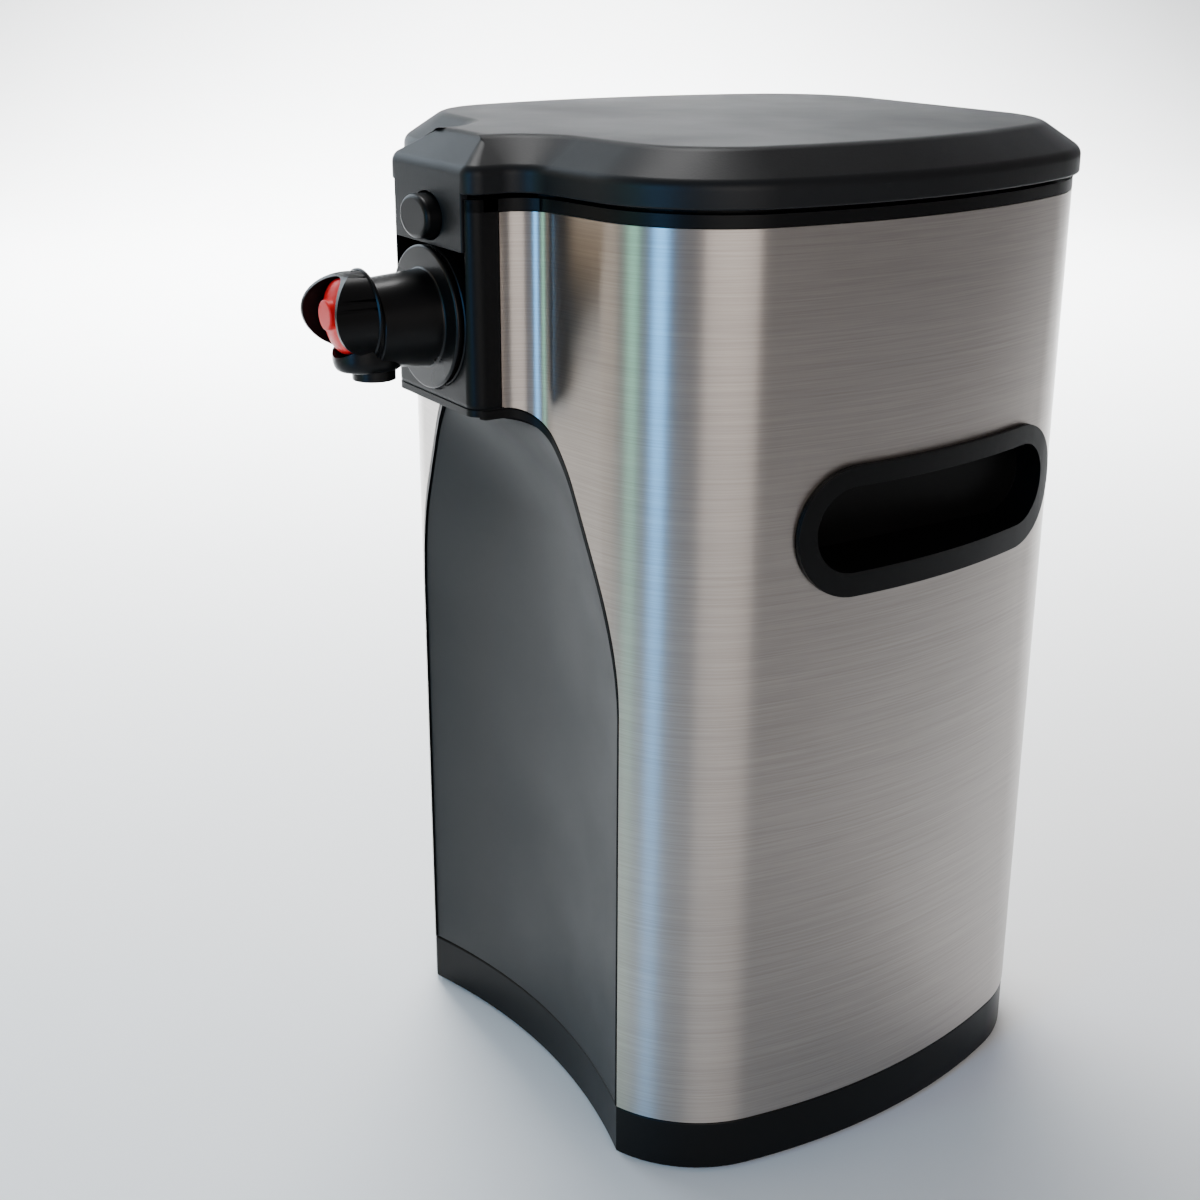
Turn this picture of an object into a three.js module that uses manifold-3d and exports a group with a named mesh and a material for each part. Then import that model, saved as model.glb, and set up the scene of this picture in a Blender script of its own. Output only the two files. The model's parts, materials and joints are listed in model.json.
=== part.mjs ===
// A counter-top dispenser for a three litre wine bag: a brushed steel wrap on a moulded base, a hinged
// lid with a push button, a spring lifted platform inside, and the tap that comes with the bag.
// Sizes are in millimetres. x runs to the viewer's right, y to the back and z up.
import * as THREE from "three";
import { mergeVertices } from "three/addons/utils/BufferGeometryUtils.js";
import Module from "manifold-3d";

const wasm = await Module();
wasm.setup();

// Clearances
const gap = 0.3;
const weld = 0.0003;
const overrun = 5;
const runningGap = 1;

// Plan of the body, given on the outside of the steel
const plan = {
  halfWidth: 100.1,
  widestY: 73,
  sideRadius: 230.3,
  cornerRadius: 45.1,
  rearRadius: 54.3,
  backY: 187,
  flankX: 46.4,
  flankY: -6.95,
  flankTilt: 8,
  noseHalf: 27,
  noseY: -31,
  noseCorner: 5,
  tightestCorner: 1.5,
  valleyRadius: 12,
};

// Heights of the body
const tall = {
  skirtBottom: 1.5,
  base: 20,
  steel: 320,
  rimRise: 4,
  seam: 1.5,
  lidWall: 7.4,
  lidRise: 8.7,
};

// Moulded base
const base = {
  wall: 3,
  floor: 3,
  inset: 0.2,
  lipHeight: 3,
  lipWall: 2,
  hollow: 10.4,
};

// Rubber feet
const foot = {
  radius: 8,
  thickness: 2.7,
  frontInset: 42.1,
  frontY: 22,
  rearInset: 48.1,
  rearY: 160,
  padMargin: 1.5,
  pegRadius: 2,
  pegLength: 5,
};

// Steel wrap
const steel = {
  thickness: 0.8,
  noseEdgeY: -20.8,
};

// Front arch, the edge of the steel seen from the front. Its curves are shares of its run to the nose.
const arch = {
  sidePost: 32.6,
  springDrop: 92.3,
  lowRadiusShare: 2.8642,
  lowTurn: 24.3,
  straightShare: 0.6296,
  topRadiusShare: 1.4321,
  topTurn: 28,
  trimSide: 0.7,
  trimDrop: 2.7,
  lap: 8,
};

// Moulded front bezel with the nose
const bezel = {
  wall: 2.3,
  chinDrop: 62.7,
  chinFloor: 2.6,
  chinCorner: 4,
  rimJointY: -10,
  backY: 12,
  sideDrop: 2.8,
  cradleWall: 2.4,
  cradleDrop: 20,
  cradleFrontY: -27.7,
  ledgeDepth: 1.6,
  ledgeHeight: 4,
  ledgeDrop: 8,
};

// Front panel between the arch edges
const panel = {
  thickness: 2.5,
  recess: 1,
  coveBlend: 6,
  coveHeight: 44.3,
  coveReach: 37,
};

// Chamber liner
const liner = {
  sideRoom: 26.1,
  frontY: 12.6,
  backY: 162,
  corner: 14,
  wall: 2.5,
  bottom: 22,
  deckThickness: 2.7,
  rimWidth: 4,
  bossRadius: 4.5,
  rodBossRadius: 6.5,
  rodBossLength: 10,
};

// Lift platform and its carriage
const lift = {
  travel: 210,
  platformThickness: 3,
  platformSkirt: 13,
  platformWall: 2,
  lipHeight: 2.5,
  floorClear: 0.6,
  armX: 38,
  armWidth: 8,
  armHeight: 7,
  armLap: 24,
  barLap: 7,
  barDepth: 12.5,
  barHeight: 13,
  barClear: 1,
  slotMargin: 1.6,
  ribThickness: 2,
  ribPitch: 28,
};

// Guide rods
const rod = {
  radius: 3,
  inset: 24,
  socket: 4,
  bushRadius: 5,
  bushProud: 1.5,
};

// Constant force springs
const spring = {
  bossRoom: 1.5,
  drop: 24,
  y: 175,
  width: 12,
  coilRadius: 8.6,
  coreRadius: 5,
  axleRadius: 2,
  tape: 0.4,
  cheek: 1,
  cheekRadius: 7.4,
  bracket: 1.5,
  earRadius: 6,
  plateLap: 13,
  plateHeight: 27,
  axleHead: 3,
};

// Screws
const screw = {
  radius: 1.6,
  headRadius: 3,
  headHeight: 1.9,
  reach: 9,
  shortReach: 3.6,
  baseX: 50,
  baseFrontY: 34,
  baseRearY: 146,
  crownShare: 0.86,
  lidInset: 48.1,
  lidFrontY: 28,
  lidRearY: 148,
};

// Handle inserts
const handle = {
  centreY: 100.35,
  drop: 94.2,
  length: 119.2,
  height: 42.4,
  proud: 2,
  lip: 6.5,
  lipLow: 8,
  steelLap: 3,
  wall: 2,
};

// Lid
const lid = {
  overhang: 1.9,
  noseOverhang: 0.5,
  chamferInset: 13.3,
  wall: 2.4,
  softEdge: 1.3,
  tongueHalf: 22.4,
  tongueDrop: 12,
  tongueWall: 2.6,
  linerThickness: 2,
  plugInset: 5.6,
  plugDepth: 2.2,
  bossRadius: 4,
};

// Lid hinge, at the back
const hinge = {
  offset: 5.6,
  drop: 1,
  knuckleRadius: 3.6,
  pinRadius: 1.5,
  centreHalf: 17,
  outerHalf: 28,
  plateThickness: 2,
  plateHeight: 17,
  pinHead: 2.4,
  pinHeadLength: 1.2,
  screwX: 19,
  screwDrop: 7,
  plateDrop: 2,
  blockHalf: 5.5,
  blockDepth: 8,
};

// Lid button and latch
const button = {
  drop: 3.3,
  halfWidth: 9.6,
  halfHeight: 6.9,
  pit: 0.6,
  proud: 5,
  travel: 4,
  flange: 2.2,
  flangeLap: 0.9,
  latchClear: 0.8,
  sliderHalf: 20.5,
  sliderThickness: 2.2,
  sliderHeight: 11,
  lugReach: 2.7,
  lugHeight: 4,
  springRadius: 3.4,
  springWire: 0.7,
  springTurns: 4,
  springWallHalf: 7,
  springWall: 2,
  springSolid: 4,
  softEdge: 0.6,
};

// Gland of the bag and the tap pushed into it
const tap = {
  drop: 34.8,
  slotRadius: 23.2,
  glandRadius: 22.4,
  glandFlange: 2.8,
  glandNeck: 16.8,
  glandRear: 21.6,
  glandRearThickness: 2.4,
  glandBore: 13.2,
  discRadius: 22.6,
  discThickness: 1.9,
  discGap: 1,
  barrelRoot: 15.2,
  barrelFront: 13.8,
  barrelEndY: -53.4,
  grooveRadius: 13,
  beadWidth: 1.3,
  beadProud: 0.6,
  headRise: 2.9,
  headRadius: 13.7,
  headStartY: -54.2,
  headSideRadius: 14.1,
  headSideY: -55.2,
  headSideRise: 4.4,
  headWall: 1.3,
  bore: 9.6,
  seatY: -44,
  seatWall: 2,
  seatHole: 6,
  outletY: -51.5,
  outletRadius: 7,
  outletBore: 5.2,
  outletDrop: 17.5,
  chestRadius: 9.4,
  chestFrontY: -55.15,
  chestDrop: 14.2,
  chestTopDrop: 1.2,
  chestSoft: 4,
  spigotReach: 8,
  capRadius: 11.6,
  capDome: 4.6,
  capSkirt: 2.4,
  capY: -58.6,
  bossRadius: 4.7,
  bossRise: 1,
  bossReach: 8.8,
  travel: 3,
  stemRadius: 2.4,
  plugRadius: 8,
  plugThickness: 3,
};

// Facet counts
const facets = {
  round: 24,
  small: 14,
  tiny: 8,
  oval: 9,
  noseCorner: 3,
  valley: 5,
  corner: 7,
  side: 5,
  rear: 7,
  arc: 6,
  soft: 3,
  panelAcross: 12,
  panelUp: 5,
  panelCove: 8,
  wire: 5,
  springTurn: 8,
};

const degrees = Math.PI / 180;

// Heights that follow the top edge of the steel
const level = {
  rim: tall.steel + tall.rimRise,
  chin: tall.steel - bezel.chinDrop,
  bezelSide: tall.steel - bezel.sideDrop,
  cradle: tall.steel - bezel.cradleDrop,
  ledge: tall.steel - bezel.ledgeDrop,
  spring: tall.steel - spring.drop,
  handle: tall.steel - handle.drop,
  tongue: tall.steel - lid.tongueDrop,
  hingePlate: tall.steel - hinge.plateDrop,
  button: tall.steel - button.drop,
  tap: tall.steel - tap.drop,
};
level.lidBottom = level.rim + tall.seam;
level.shoulder = level.lidBottom + tall.lidWall;
level.lid = level.shoulder + tall.lidRise;
level.archSpring = level.chin - arch.springDrop;
level.cove = level.chin - panel.coveHeight;
level.tapHead = level.tap + tap.headRise;
level.tapHeadSide = level.tap + tap.headSideRise;
level.outlet = level.tap - tap.outletDrop;
level.chest = level.tap - tap.chestDrop;
level.chestTop = level.tap - tap.chestTopDrop;

// Half widths that follow the width of the body
const across = {
  arch: plan.halfWidth - arch.sidePost,
  liner: plan.halfWidth - liner.sideRoom,
  frontFoot: plan.halfWidth - foot.frontInset,
  rearFoot: plan.halfWidth - foot.rearInset,
  lidScrew: plan.halfWidth - screw.lidInset,
};
across.archRun = across.arch - plan.noseHalf;
across.rod = across.liner - rod.inset;
across.bar = across.rod + lift.barLap;
across.drum = (across.rod - liner.rodBossRadius - spring.bossRoom) / 2;
across.bracket = across.drum + spring.plateLap;

// Solids and meshes

function triangleVolume(p, a, b, c) {
  const [ax, ay, az] = [p[3 * a], p[3 * a + 1], p[3 * a + 2]];
  const [bx, by, bz] = [p[3 * b], p[3 * b + 1], p[3 * b + 2]];
  const [cx, cy, cz] = [p[3 * c], p[3 * c + 1], p[3 * c + 2]];
  return ax * (by * cz - bz * cy) + ay * (bz * cx - bx * cz) + az * (bx * cy - by * cx);
}

// A closed geometry as a solid, with its faces turned outwards.
function solid(geometry) {
  const bare = new THREE.BufferGeometry();
  bare.setAttribute("position", geometry.getAttribute("position").clone());
  if (geometry.index) bare.setIndex(geometry.index.clone());
  const merged = mergeVertices(bare, weld);
  const p = merged.attributes.position.array;
  const index = merged.index.array;
  const triangles = [];
  let volume = 0;
  for (let i = 0; i < index.length; i += 3) {
    const [a, b, c] = [index[i], index[i + 1], index[i + 2]];
    if (a === b || b === c || c === a) continue;
    triangles.push([a, b, c]);
    volume += triangleVolume(p, a, b, c);
  }
  const turned = volume < 0 ? triangles.map(([a, b, c]) => [a, c, b]) : triangles;
  const triVerts = new Uint32Array(turned.flat());
  return new wasm.Manifold(new wasm.Mesh({ numProp: 3, vertProperties: p, triVerts }));
}

function geometryOf(made) {
  const mesh = made.getMesh();
  const positions = new Float32Array(mesh.numVert * 3);
  for (let i = 0; i < mesh.numVert; i++) {
    positions.set(mesh.vertProperties.subarray(i * mesh.numProp, i * mesh.numProp + 3), i * 3);
  }
  const geometry = new THREE.BufferGeometry();
  geometry.setAttribute("position", new THREE.BufferAttribute(positions, 3));
  geometry.setIndex(new THREE.BufferAttribute(mesh.triVerts, 1));
  geometry.computeVertexNormals();
  return geometry;
}

const join = (...solids) => solids.reduce((a, b) => a.add(b));
const cut = (from, ...solids) => solids.reduce((a, b) => a.subtract(b), from);
const common = (a, b) => a.intersect(b);
const span = (a, b) => [Math.min(a, b), Math.max(a, b)];
const mirrored = (made) => solid(geometryOf(made).scale(-1, 1, 1));

// Turns a shape drawn flat and extruded along z so that it is extruded along another axis.
const turns = {
  z: new THREE.Matrix4(),
  y: new THREE.Matrix4().makeBasis(
    new THREE.Vector3(1, 0, 0),
    new THREE.Vector3(0, 0, 1),
    new THREE.Vector3(0, -1, 0),
  ),
  x: new THREE.Matrix4().makeBasis(
    new THREE.Vector3(0, 1, 0),
    new THREE.Vector3(0, 0, 1),
    new THREE.Vector3(1, 0, 0),
  ),
};

// A prism from low to high along an axis. Its outline is (x, y) for z, (x, z) for y and (y, z) for x.
function prism(points, low, high, axis = "z") {
  const shape = new THREE.Shape(points.map(([u, v]) => new THREE.Vector2(u, v)));
  const geometry = new THREE.ExtrudeGeometry(shape, { depth: high - low, bevelEnabled: false, steps: 1 });
  geometry.applyMatrix4(turns[axis]);
  const shift = { x: [low, 0, 0], y: [0, high, 0], z: [0, 0, low] }[axis];
  return solid(geometry.translate(...shift));
}

function box(x0, x1, y0, y1, z0, z1) {
  const geometry = new THREE.BoxGeometry(x1 - x0, y1 - y0, z1 - z0);
  return solid(geometry.translate((x0 + x1) / 2, (y0 + y1) / 2, (z0 + z1) / 2));
}

// A round bar from low to high along an axis, through (u, v) in the plane of the other two.
function bar(radius, low, high, axis, u, v, count = facets.small, endRadius = radius) {
  const geometry = new THREE.CylinderGeometry(endRadius, radius, high - low, count);
  if (axis === "z") geometry.rotateX(90 * degrees);
  if (axis === "x") geometry.rotateZ(-90 * degrees);
  const middle = (low + high) / 2;
  const place = { x: [middle, u, v], y: [u, middle, v], z: [u, v, middle] }[axis];
  return solid(geometry.translate(...place));
}

// A solid turned about an axis along y, from a profile of [radius, y] pairs.
function turned(profile, x, z, count = facets.round) {
  const geometry = new THREE.LatheGeometry(
    profile.map(([radius, y]) => new THREE.Vector2(radius, y)),
    count,
  );
  return solid(geometry.translate(x, 0, z));
}

// Points of an arc about a centre, by angle in degrees.
function arcPoints(cx, cy, radius, from, to, count, radiusV = radius) {
  return Array.from({ length: count + 1 }, (_, i) => {
    const angle = (from + ((to - from) * i) / count) * degrees;
    return [cx + radius * Math.cos(angle), cy + radiusV * Math.sin(angle)];
  });
}

const mirrorPath = (points) => points.map(([u, v]) => [-u, v]).reverse();

function roundedRectangle(x0, x1, y0, y1, radius, count = facets.arc) {
  return [
    ...arcPoints(x1 - radius, y0 + radius, radius, -90, 0, count),
    ...arcPoints(x1 - radius, y1 - radius, radius, 0, 90, count),
    ...arcPoints(x0 + radius, y1 - radius, radius, 90, 180, count),
    ...arcPoints(x0 + radius, y0 + radius, radius, 180, 270, count),
  ];
}

function obround(u, v, length, height, count = facets.oval) {
  const radius = height / 2;
  const half = length / 2 - radius;
  return [
    ...arcPoints(u + half, v, radius, -90, 90, count),
    ...arcPoints(u - half, v, radius, 90, 270, count),
  ];
}

// A closed body through outlines of equal length at rising heights.
function loft(layers) {
  const count = layers[0].points.length;
  const positions = layers.flatMap(({ points, z }) => points.flatMap(([x, y]) => [x, y, z]));
  const index = [];
  for (let k = 0; k + 1 < layers.length; k++) {
    for (let i = 0; i < count; i++) {
      const a = k * count + i;
      const b = k * count + ((i + 1) % count);
      index.push(a, b, b + count, a, b + count, a + count);
    }
  }
  const cap = (layer, flip) => {
    const contour = layers[layer].points.map(([x, y]) => new THREE.Vector2(x, y));
    for (const [a, b, c] of THREE.ShapeUtils.triangulateShape(contour, [])) {
      const face = [a, b, c].map((i) => i + layer * count);
      index.push(...(flip ? face.reverse() : face));
    }
  };
  cap(0, true);
  cap(layers.length - 1, false);
  const geometry = new THREE.BufferGeometry();
  geometry.setAttribute("position", new THREE.Float32BufferAttribute(positions, 3));
  geometry.setIndex(index);
  return solid(geometry);
}

// A closed slab between a front and a back grid of points.
function slab(front, back) {
  const rows = front.length;
  const columns = front[0].length;
  const positions = [...front.flat(), ...back.flat()].flat();
  const at = (side, i, j) => side * rows * columns + i * columns + j;
  const index = [];
  const quad = (a, b, c, d) => index.push(a, b, c, a, c, d);
  for (let i = 0; i + 1 < rows; i++) {
    for (let j = 0; j + 1 < columns; j++) {
      quad(at(0, i, j), at(0, i, j + 1), at(0, i + 1, j + 1), at(0, i + 1, j));
      quad(at(1, i, j), at(1, i + 1, j), at(1, i + 1, j + 1), at(1, i, j + 1));
    }
  }
  for (let j = 0; j + 1 < columns; j++) {
    quad(at(0, 0, j), at(1, 0, j), at(1, 0, j + 1), at(0, 0, j + 1));
    quad(at(0, rows - 1, j), at(0, rows - 1, j + 1), at(1, rows - 1, j + 1), at(1, rows - 1, j));
  }
  for (let i = 0; i + 1 < rows; i++) {
    quad(at(0, i, 0), at(0, i + 1, 0), at(1, i + 1, 0), at(1, i, 0));
    quad(at(0, i, columns - 1), at(1, i, columns - 1), at(1, i + 1, columns - 1), at(0, i + 1, columns - 1));
  }
  const geometry = new THREE.BufferGeometry();
  geometry.setAttribute("position", new THREE.Float32BufferAttribute(positions, 3));
  geometry.setIndex(index);
  return solid(geometry);
}

// Plan outline of the body, moved outwards by spread. The nose may be moved by another amount.

const sideCentre = [plan.halfWidth - plan.sideRadius, plan.widestY];
const flankNormal = [Math.sin(plan.flankTilt * degrees), -Math.cos(plan.flankTilt * degrees)];
const flankAlong = [-flankNormal[1], flankNormal[0]];

// Centre of the circle that touches the flank and the side arc from inside.
function cornerCentre() {
  const r = plan.cornerRadius;
  const start = [plan.flankX - r * flankNormal[0], plan.flankY - r * flankNormal[1]];
  const d = [start[0] - sideCentre[0], start[1] - sideCentre[1]];
  const along = d[0] * flankAlong[0] + d[1] * flankAlong[1];
  const rest = d[0] ** 2 + d[1] ** 2 - (plan.sideRadius - r) ** 2;
  const s = -along + Math.sqrt(along ** 2 - rest);
  return [start[0] + s * flankAlong[0], start[1] + s * flankAlong[1]];
}

function rearCentre() {
  const y = plan.backY - plan.rearRadius;
  const reach = plan.sideRadius - plan.rearRadius;
  return [sideCentre[0] + Math.sqrt(reach ** 2 - (y - sideCentre[1]) ** 2), y];
}

const angleOf = (from, to) => Math.atan2(to[1] - from[1], to[0] - from[0]) / degrees;

function outline(spread, noseSpread = spread) {
  const corner = cornerCentre();
  const rear = rearCentre();
  const half = plan.noseHalf + noseSpread;
  const noseRadius = Math.max(plan.tightestCorner, plan.noseCorner + noseSpread);
  const valleyX = plan.noseHalf + plan.valleyRadius;
  const flankAt = plan.flankY + (valleyX - plan.flankX) * (flankAlong[1] / flankAlong[0]);
  const valleyY = flankAt - plan.valleyRadius / flankAlong[0];
  const flankAngle = angleOf([0, 0], flankNormal);
  const toCorner = angleOf(sideCentre, corner);
  const toRear = angleOf(sideCentre, rear);
  const right = [
    ...arcPoints(
      half - noseRadius, plan.noseY - noseSpread + noseRadius, noseRadius, -90, 0, facets.noseCorner,
    ),
    ...arcPoints(
      valleyX, valleyY, valleyX - half, 180, flankAngle + 180, facets.valley, plan.valleyRadius - spread,
    ),
    ...arcPoints(...corner, plan.cornerRadius + spread, flankAngle, toCorner, facets.corner),
    ...arcPoints(...sideCentre, plan.sideRadius + spread, toCorner, toRear, facets.side).slice(1),
    ...arcPoints(...rear, plan.rearRadius + spread, toRear, 90, facets.rear).slice(1),
  ];
  return [...right, ...mirrorPath(right)];
}

const bodyPrism = (spread, low, high) => prism(outline(spread), low, high);
const bodyRing = (inner, outer, low, high) =>
  cut(bodyPrism(outer, low, high), bodyPrism(inner, low - overrun, high + overrun));

// Half width of the arch opening from the bottom up, as [x, z] pairs, drawn in by side and lowered by drop.
function archSide(side, drop) {
  const half = across.arch - side;
  const springZ = level.archSpring - drop;
  const points = [[half, tall.base - overrun]];
  const lowRadius = arch.lowRadiusShare * across.archRun;
  const topRadius = arch.topRadiusShare * across.archRun;
  const straight = arch.straightShare * across.archRun;
  const low = arcPoints(half - lowRadius, springZ, lowRadius, 0, arch.lowTurn, facets.arc);
  points.push(...low);
  const lean = arch.lowTurn * degrees;
  const [x1, z1] = low[low.length - 1];
  const x2 = x1 - straight * Math.sin(lean);
  const z2 = z1 + straight * Math.cos(lean);
  const top = arcPoints(
    x2 - topRadius * Math.cos(lean),
    z2 - topRadius * Math.sin(lean),
    topRadius,
    arch.lowTurn,
    arch.lowTurn + arch.topTurn,
    facets.arc,
  );
  points.push(...top);
  return points;
}

// The arch opening as a closed outline, whose top runs straight on past the nose to the middle.
function archOutline(side, drop) {
  const points = archSide(side, drop);
  const [x, z] = points[points.length - 1];
  const fall = Math.tan((90 - arch.lowTurn - arch.topTurn) * degrees);
  const nose = plan.noseHalf - side;
  const rise = (x - nose) * fall;
  const half = [...points, [nose, z + rise], [nose, Math.max(z + rise, level.chin) + gap]];
  return [...half, ...mirrorPath(half)];
}

const archPrism = (side, drop, low, high) => prism(archOutline(side, drop), low, high, "y");

// Front edge of the base in plan, hollow between the ends of the arch.
function frontHollow(inset) {
  const count = facets.corner;
  const edge = flankDepth(across.arch);
  return Array.from({ length: 2 * count + 1 }, (_, i) => {
    const share = i / count - 1;
    return [across.arch * share, edge + inset + base.hollow * (1 - share ** 2)];
  });
}

// Depth of the flank at a half width beside the nose.
function flankDepth(x) {
  const corner = cornerCentre();
  const touch = corner[0] + plan.cornerRadius * flankNormal[0];
  if (x > touch) return corner[1] - Math.sqrt(plan.cornerRadius ** 2 - (x - corner[0]) ** 2);
  return plan.flankY + (x - plan.flankX) * (flankAlong[1] / flankAlong[0]);
}

const noseCutter = (inset, low, high) =>
  prism(
    [
      ...frontHollow(inset),
      [across.arch, plan.noseY - overrun],
      [-across.arch, plan.noseY - overrun],
    ],
    low,
    high,
  );

// Moulded base with its feet and screws

const footPlaces = {
  front_left: [-across.frontFoot, foot.frontY],
  front_right: [across.frontFoot, foot.frontY],
  rear_left: [-across.rearFoot, foot.rearY],
  rear_right: [across.rearFoot, foot.rearY],
};
const baseScrewPlaces = {
  front_left: [-screw.baseX, screw.baseFrontY],
  front_right: [screw.baseX, screw.baseFrontY],
  rear_left: [-screw.baseX, screw.baseRearY],
  rear_right: [screw.baseX, screw.baseRearY],
};
const rodY = spring.y;
const footTop = foot.thickness;
const baseScrewSeat = tall.base - base.floor - gap;
const baseScrewTop = baseScrewSeat + screw.reach;

function baseTray() {
  const under = tall.base - base.floor;
  let tray = cut(
    bodyPrism(-base.inset, tall.skirtBottom, tall.base),
    noseCutter(0, tall.skirtBottom - overrun, tall.base + overrun),
  );
  const cavity = cut(
    bodyPrism(-base.inset - base.wall, tall.skirtBottom - overrun, under),
    noseCutter(base.wall, tall.skirtBottom - 2 * overrun, under + overrun),
  );
  tray = cut(tray, cavity);
  for (const [x, y] of Object.values(footPlaces)) {
    tray = join(tray, bar(foot.radius + foot.padMargin, footTop + gap, under + gap, "z", x, y));
    const hole = footTop + foot.pegLength + 2 * gap;
    tray = cut(tray, bar(foot.pegRadius + gap, footTop - overrun, hole, "z", x, y, facets.tiny));
  }
  const lipOuter = -steel.thickness - gap;
  const lip = common(
    bodyRing(lipOuter - base.lipWall, lipOuter, tall.base - gap, tall.base + base.lipHeight),
    box(-plan.halfWidth, plan.halfWidth, liner.frontY, plan.backY, 0, level.rim),
  );
  tray = join(tray, lip);
  const rodBossTop = tall.base + rod.socket;
  for (const x of [-across.rod, across.rod]) {
    tray = join(tray, bar(liner.rodBossRadius, under, rodBossTop, "z", x, rodY));
    tray = cut(tray, bar(rod.radius + gap, tall.base, rodBossTop + overrun, "z", x, rodY));
  }
  for (const [x, y] of Object.values(baseScrewPlaces)) {
    tray = cut(tray, bar(screw.radius + gap, under - overrun, tall.base + overrun, "z", x, y, facets.tiny));
  }
  return tray;
}

const rubberFoot = ([x, y]) =>
  join(
    bar(foot.radius - gap, 0, foot.thickness / 2, "z", x, y, facets.small, foot.radius),
    bar(foot.radius, foot.thickness / 2, footTop, "z", x, y),
    bar(foot.pegRadius, footTop - gap, footTop + foot.pegLength, "z", x, y, facets.tiny),
  );

// A pan head screw along z, whose head lies below the seat.
function standingScrew(x, y, seat, reach) {
  return join(
    bar(screw.headRadius * screw.crownShare, seat - screw.headHeight, seat - screw.headHeight / 2, "z", x, y,
      facets.tiny, screw.headRadius),
    bar(screw.headRadius, seat - screw.headHeight / 2, seat, "z", x, y, facets.tiny),
    bar(screw.radius, seat - gap, seat + reach, "z", x, y, facets.tiny),
  );
}

// Steel wrap, one sheet from the nose round the back to the nose

const handleOutline = (inset) =>
  obround(handle.centreY, level.handle, handle.length - 2 * inset, handle.height - 2 * inset);

function steelWrap() {
  const bottom = tall.base + gap;
  let wrap = bodyRing(-steel.thickness, 0, bottom, tall.steel);
  wrap = cut(
    wrap,
    archPrism(0, 0, plan.noseY - overrun, liner.frontY),
    box(-plan.noseHalf - overrun, plan.noseHalf + overrun, plan.noseY - overrun, steel.noseEdgeY,
      level.chin, tall.steel + overrun),
    prism(handleOutline(handle.steelLap), -plan.halfWidth - overrun, plan.halfWidth + overrun, "x"),
  );
  return wrap;
}

const hingeScrewHoles = () =>
  [-hinge.screwX, hinge.screwX].map((x) =>
    bar(screw.radius + gap, plan.backY - overrun, plan.backY + overrun, "y", x,
      level.hingePlate - hinge.screwDrop, facets.tiny));

// Handle insert: a cup through the side with a rounded lip that lies on the steel

const mouthOutline = (grow) =>
  obround(
    handle.centreY,
    level.handle + (handle.lipLow - handle.lip) / 2,
    handle.length - 2 * (handle.lip - grow),
    handle.height - handle.lip - handle.lipLow + 2 * grow,
  );

function handleCup() {
  const inner = across.liner + gap;
  const outer = plan.halfWidth + handle.proud + overrun;
  const mouth = mouthOutline(0);
  const band = bodyRing(gap, handle.proud, level.handle - handle.height, level.handle + handle.height);
  const bezelRing = common(band, prism(handleOutline(0), 0, outer, "x"));
  const neck = common(
    prism(mouthOutline(handle.wall), inner, outer, "x"),
    bodyPrism(handle.proud, level.handle - handle.height, level.handle + handle.height),
  );
  return cut(join(bezelRing, neck), prism(mouth, inner + handle.wall, outer + overrun, "x"));
}

// A slot along y, round below the tap axis and open upwards.
const uCut = (radius, low, high) =>
  join(
    bar(radius, low, high, "y", 0, level.tap, facets.round),
    box(-radius, radius, low, high, level.tap, level.rim + overrun),
  );

// Depths of the button, its flange, the slider behind it and the ledges that it passes.
const tongueFront = plan.noseY - lid.noseOverhang;
const tongueBack = tongueFront + lid.tongueWall;
const latch = {};
latch.flangeFront = tongueBack + gap;
latch.sliderFront = latch.flangeFront + button.flange + gap;
latch.sliderBack = latch.sliderFront + button.sliderThickness;
latch.ledgeBack = latch.sliderFront - button.latchClear;
latch.wallFront = latch.sliderBack + button.travel + button.springSolid;

// Front bezel: the nose box, the trims along the arch and the cradle that holds the gland

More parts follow.
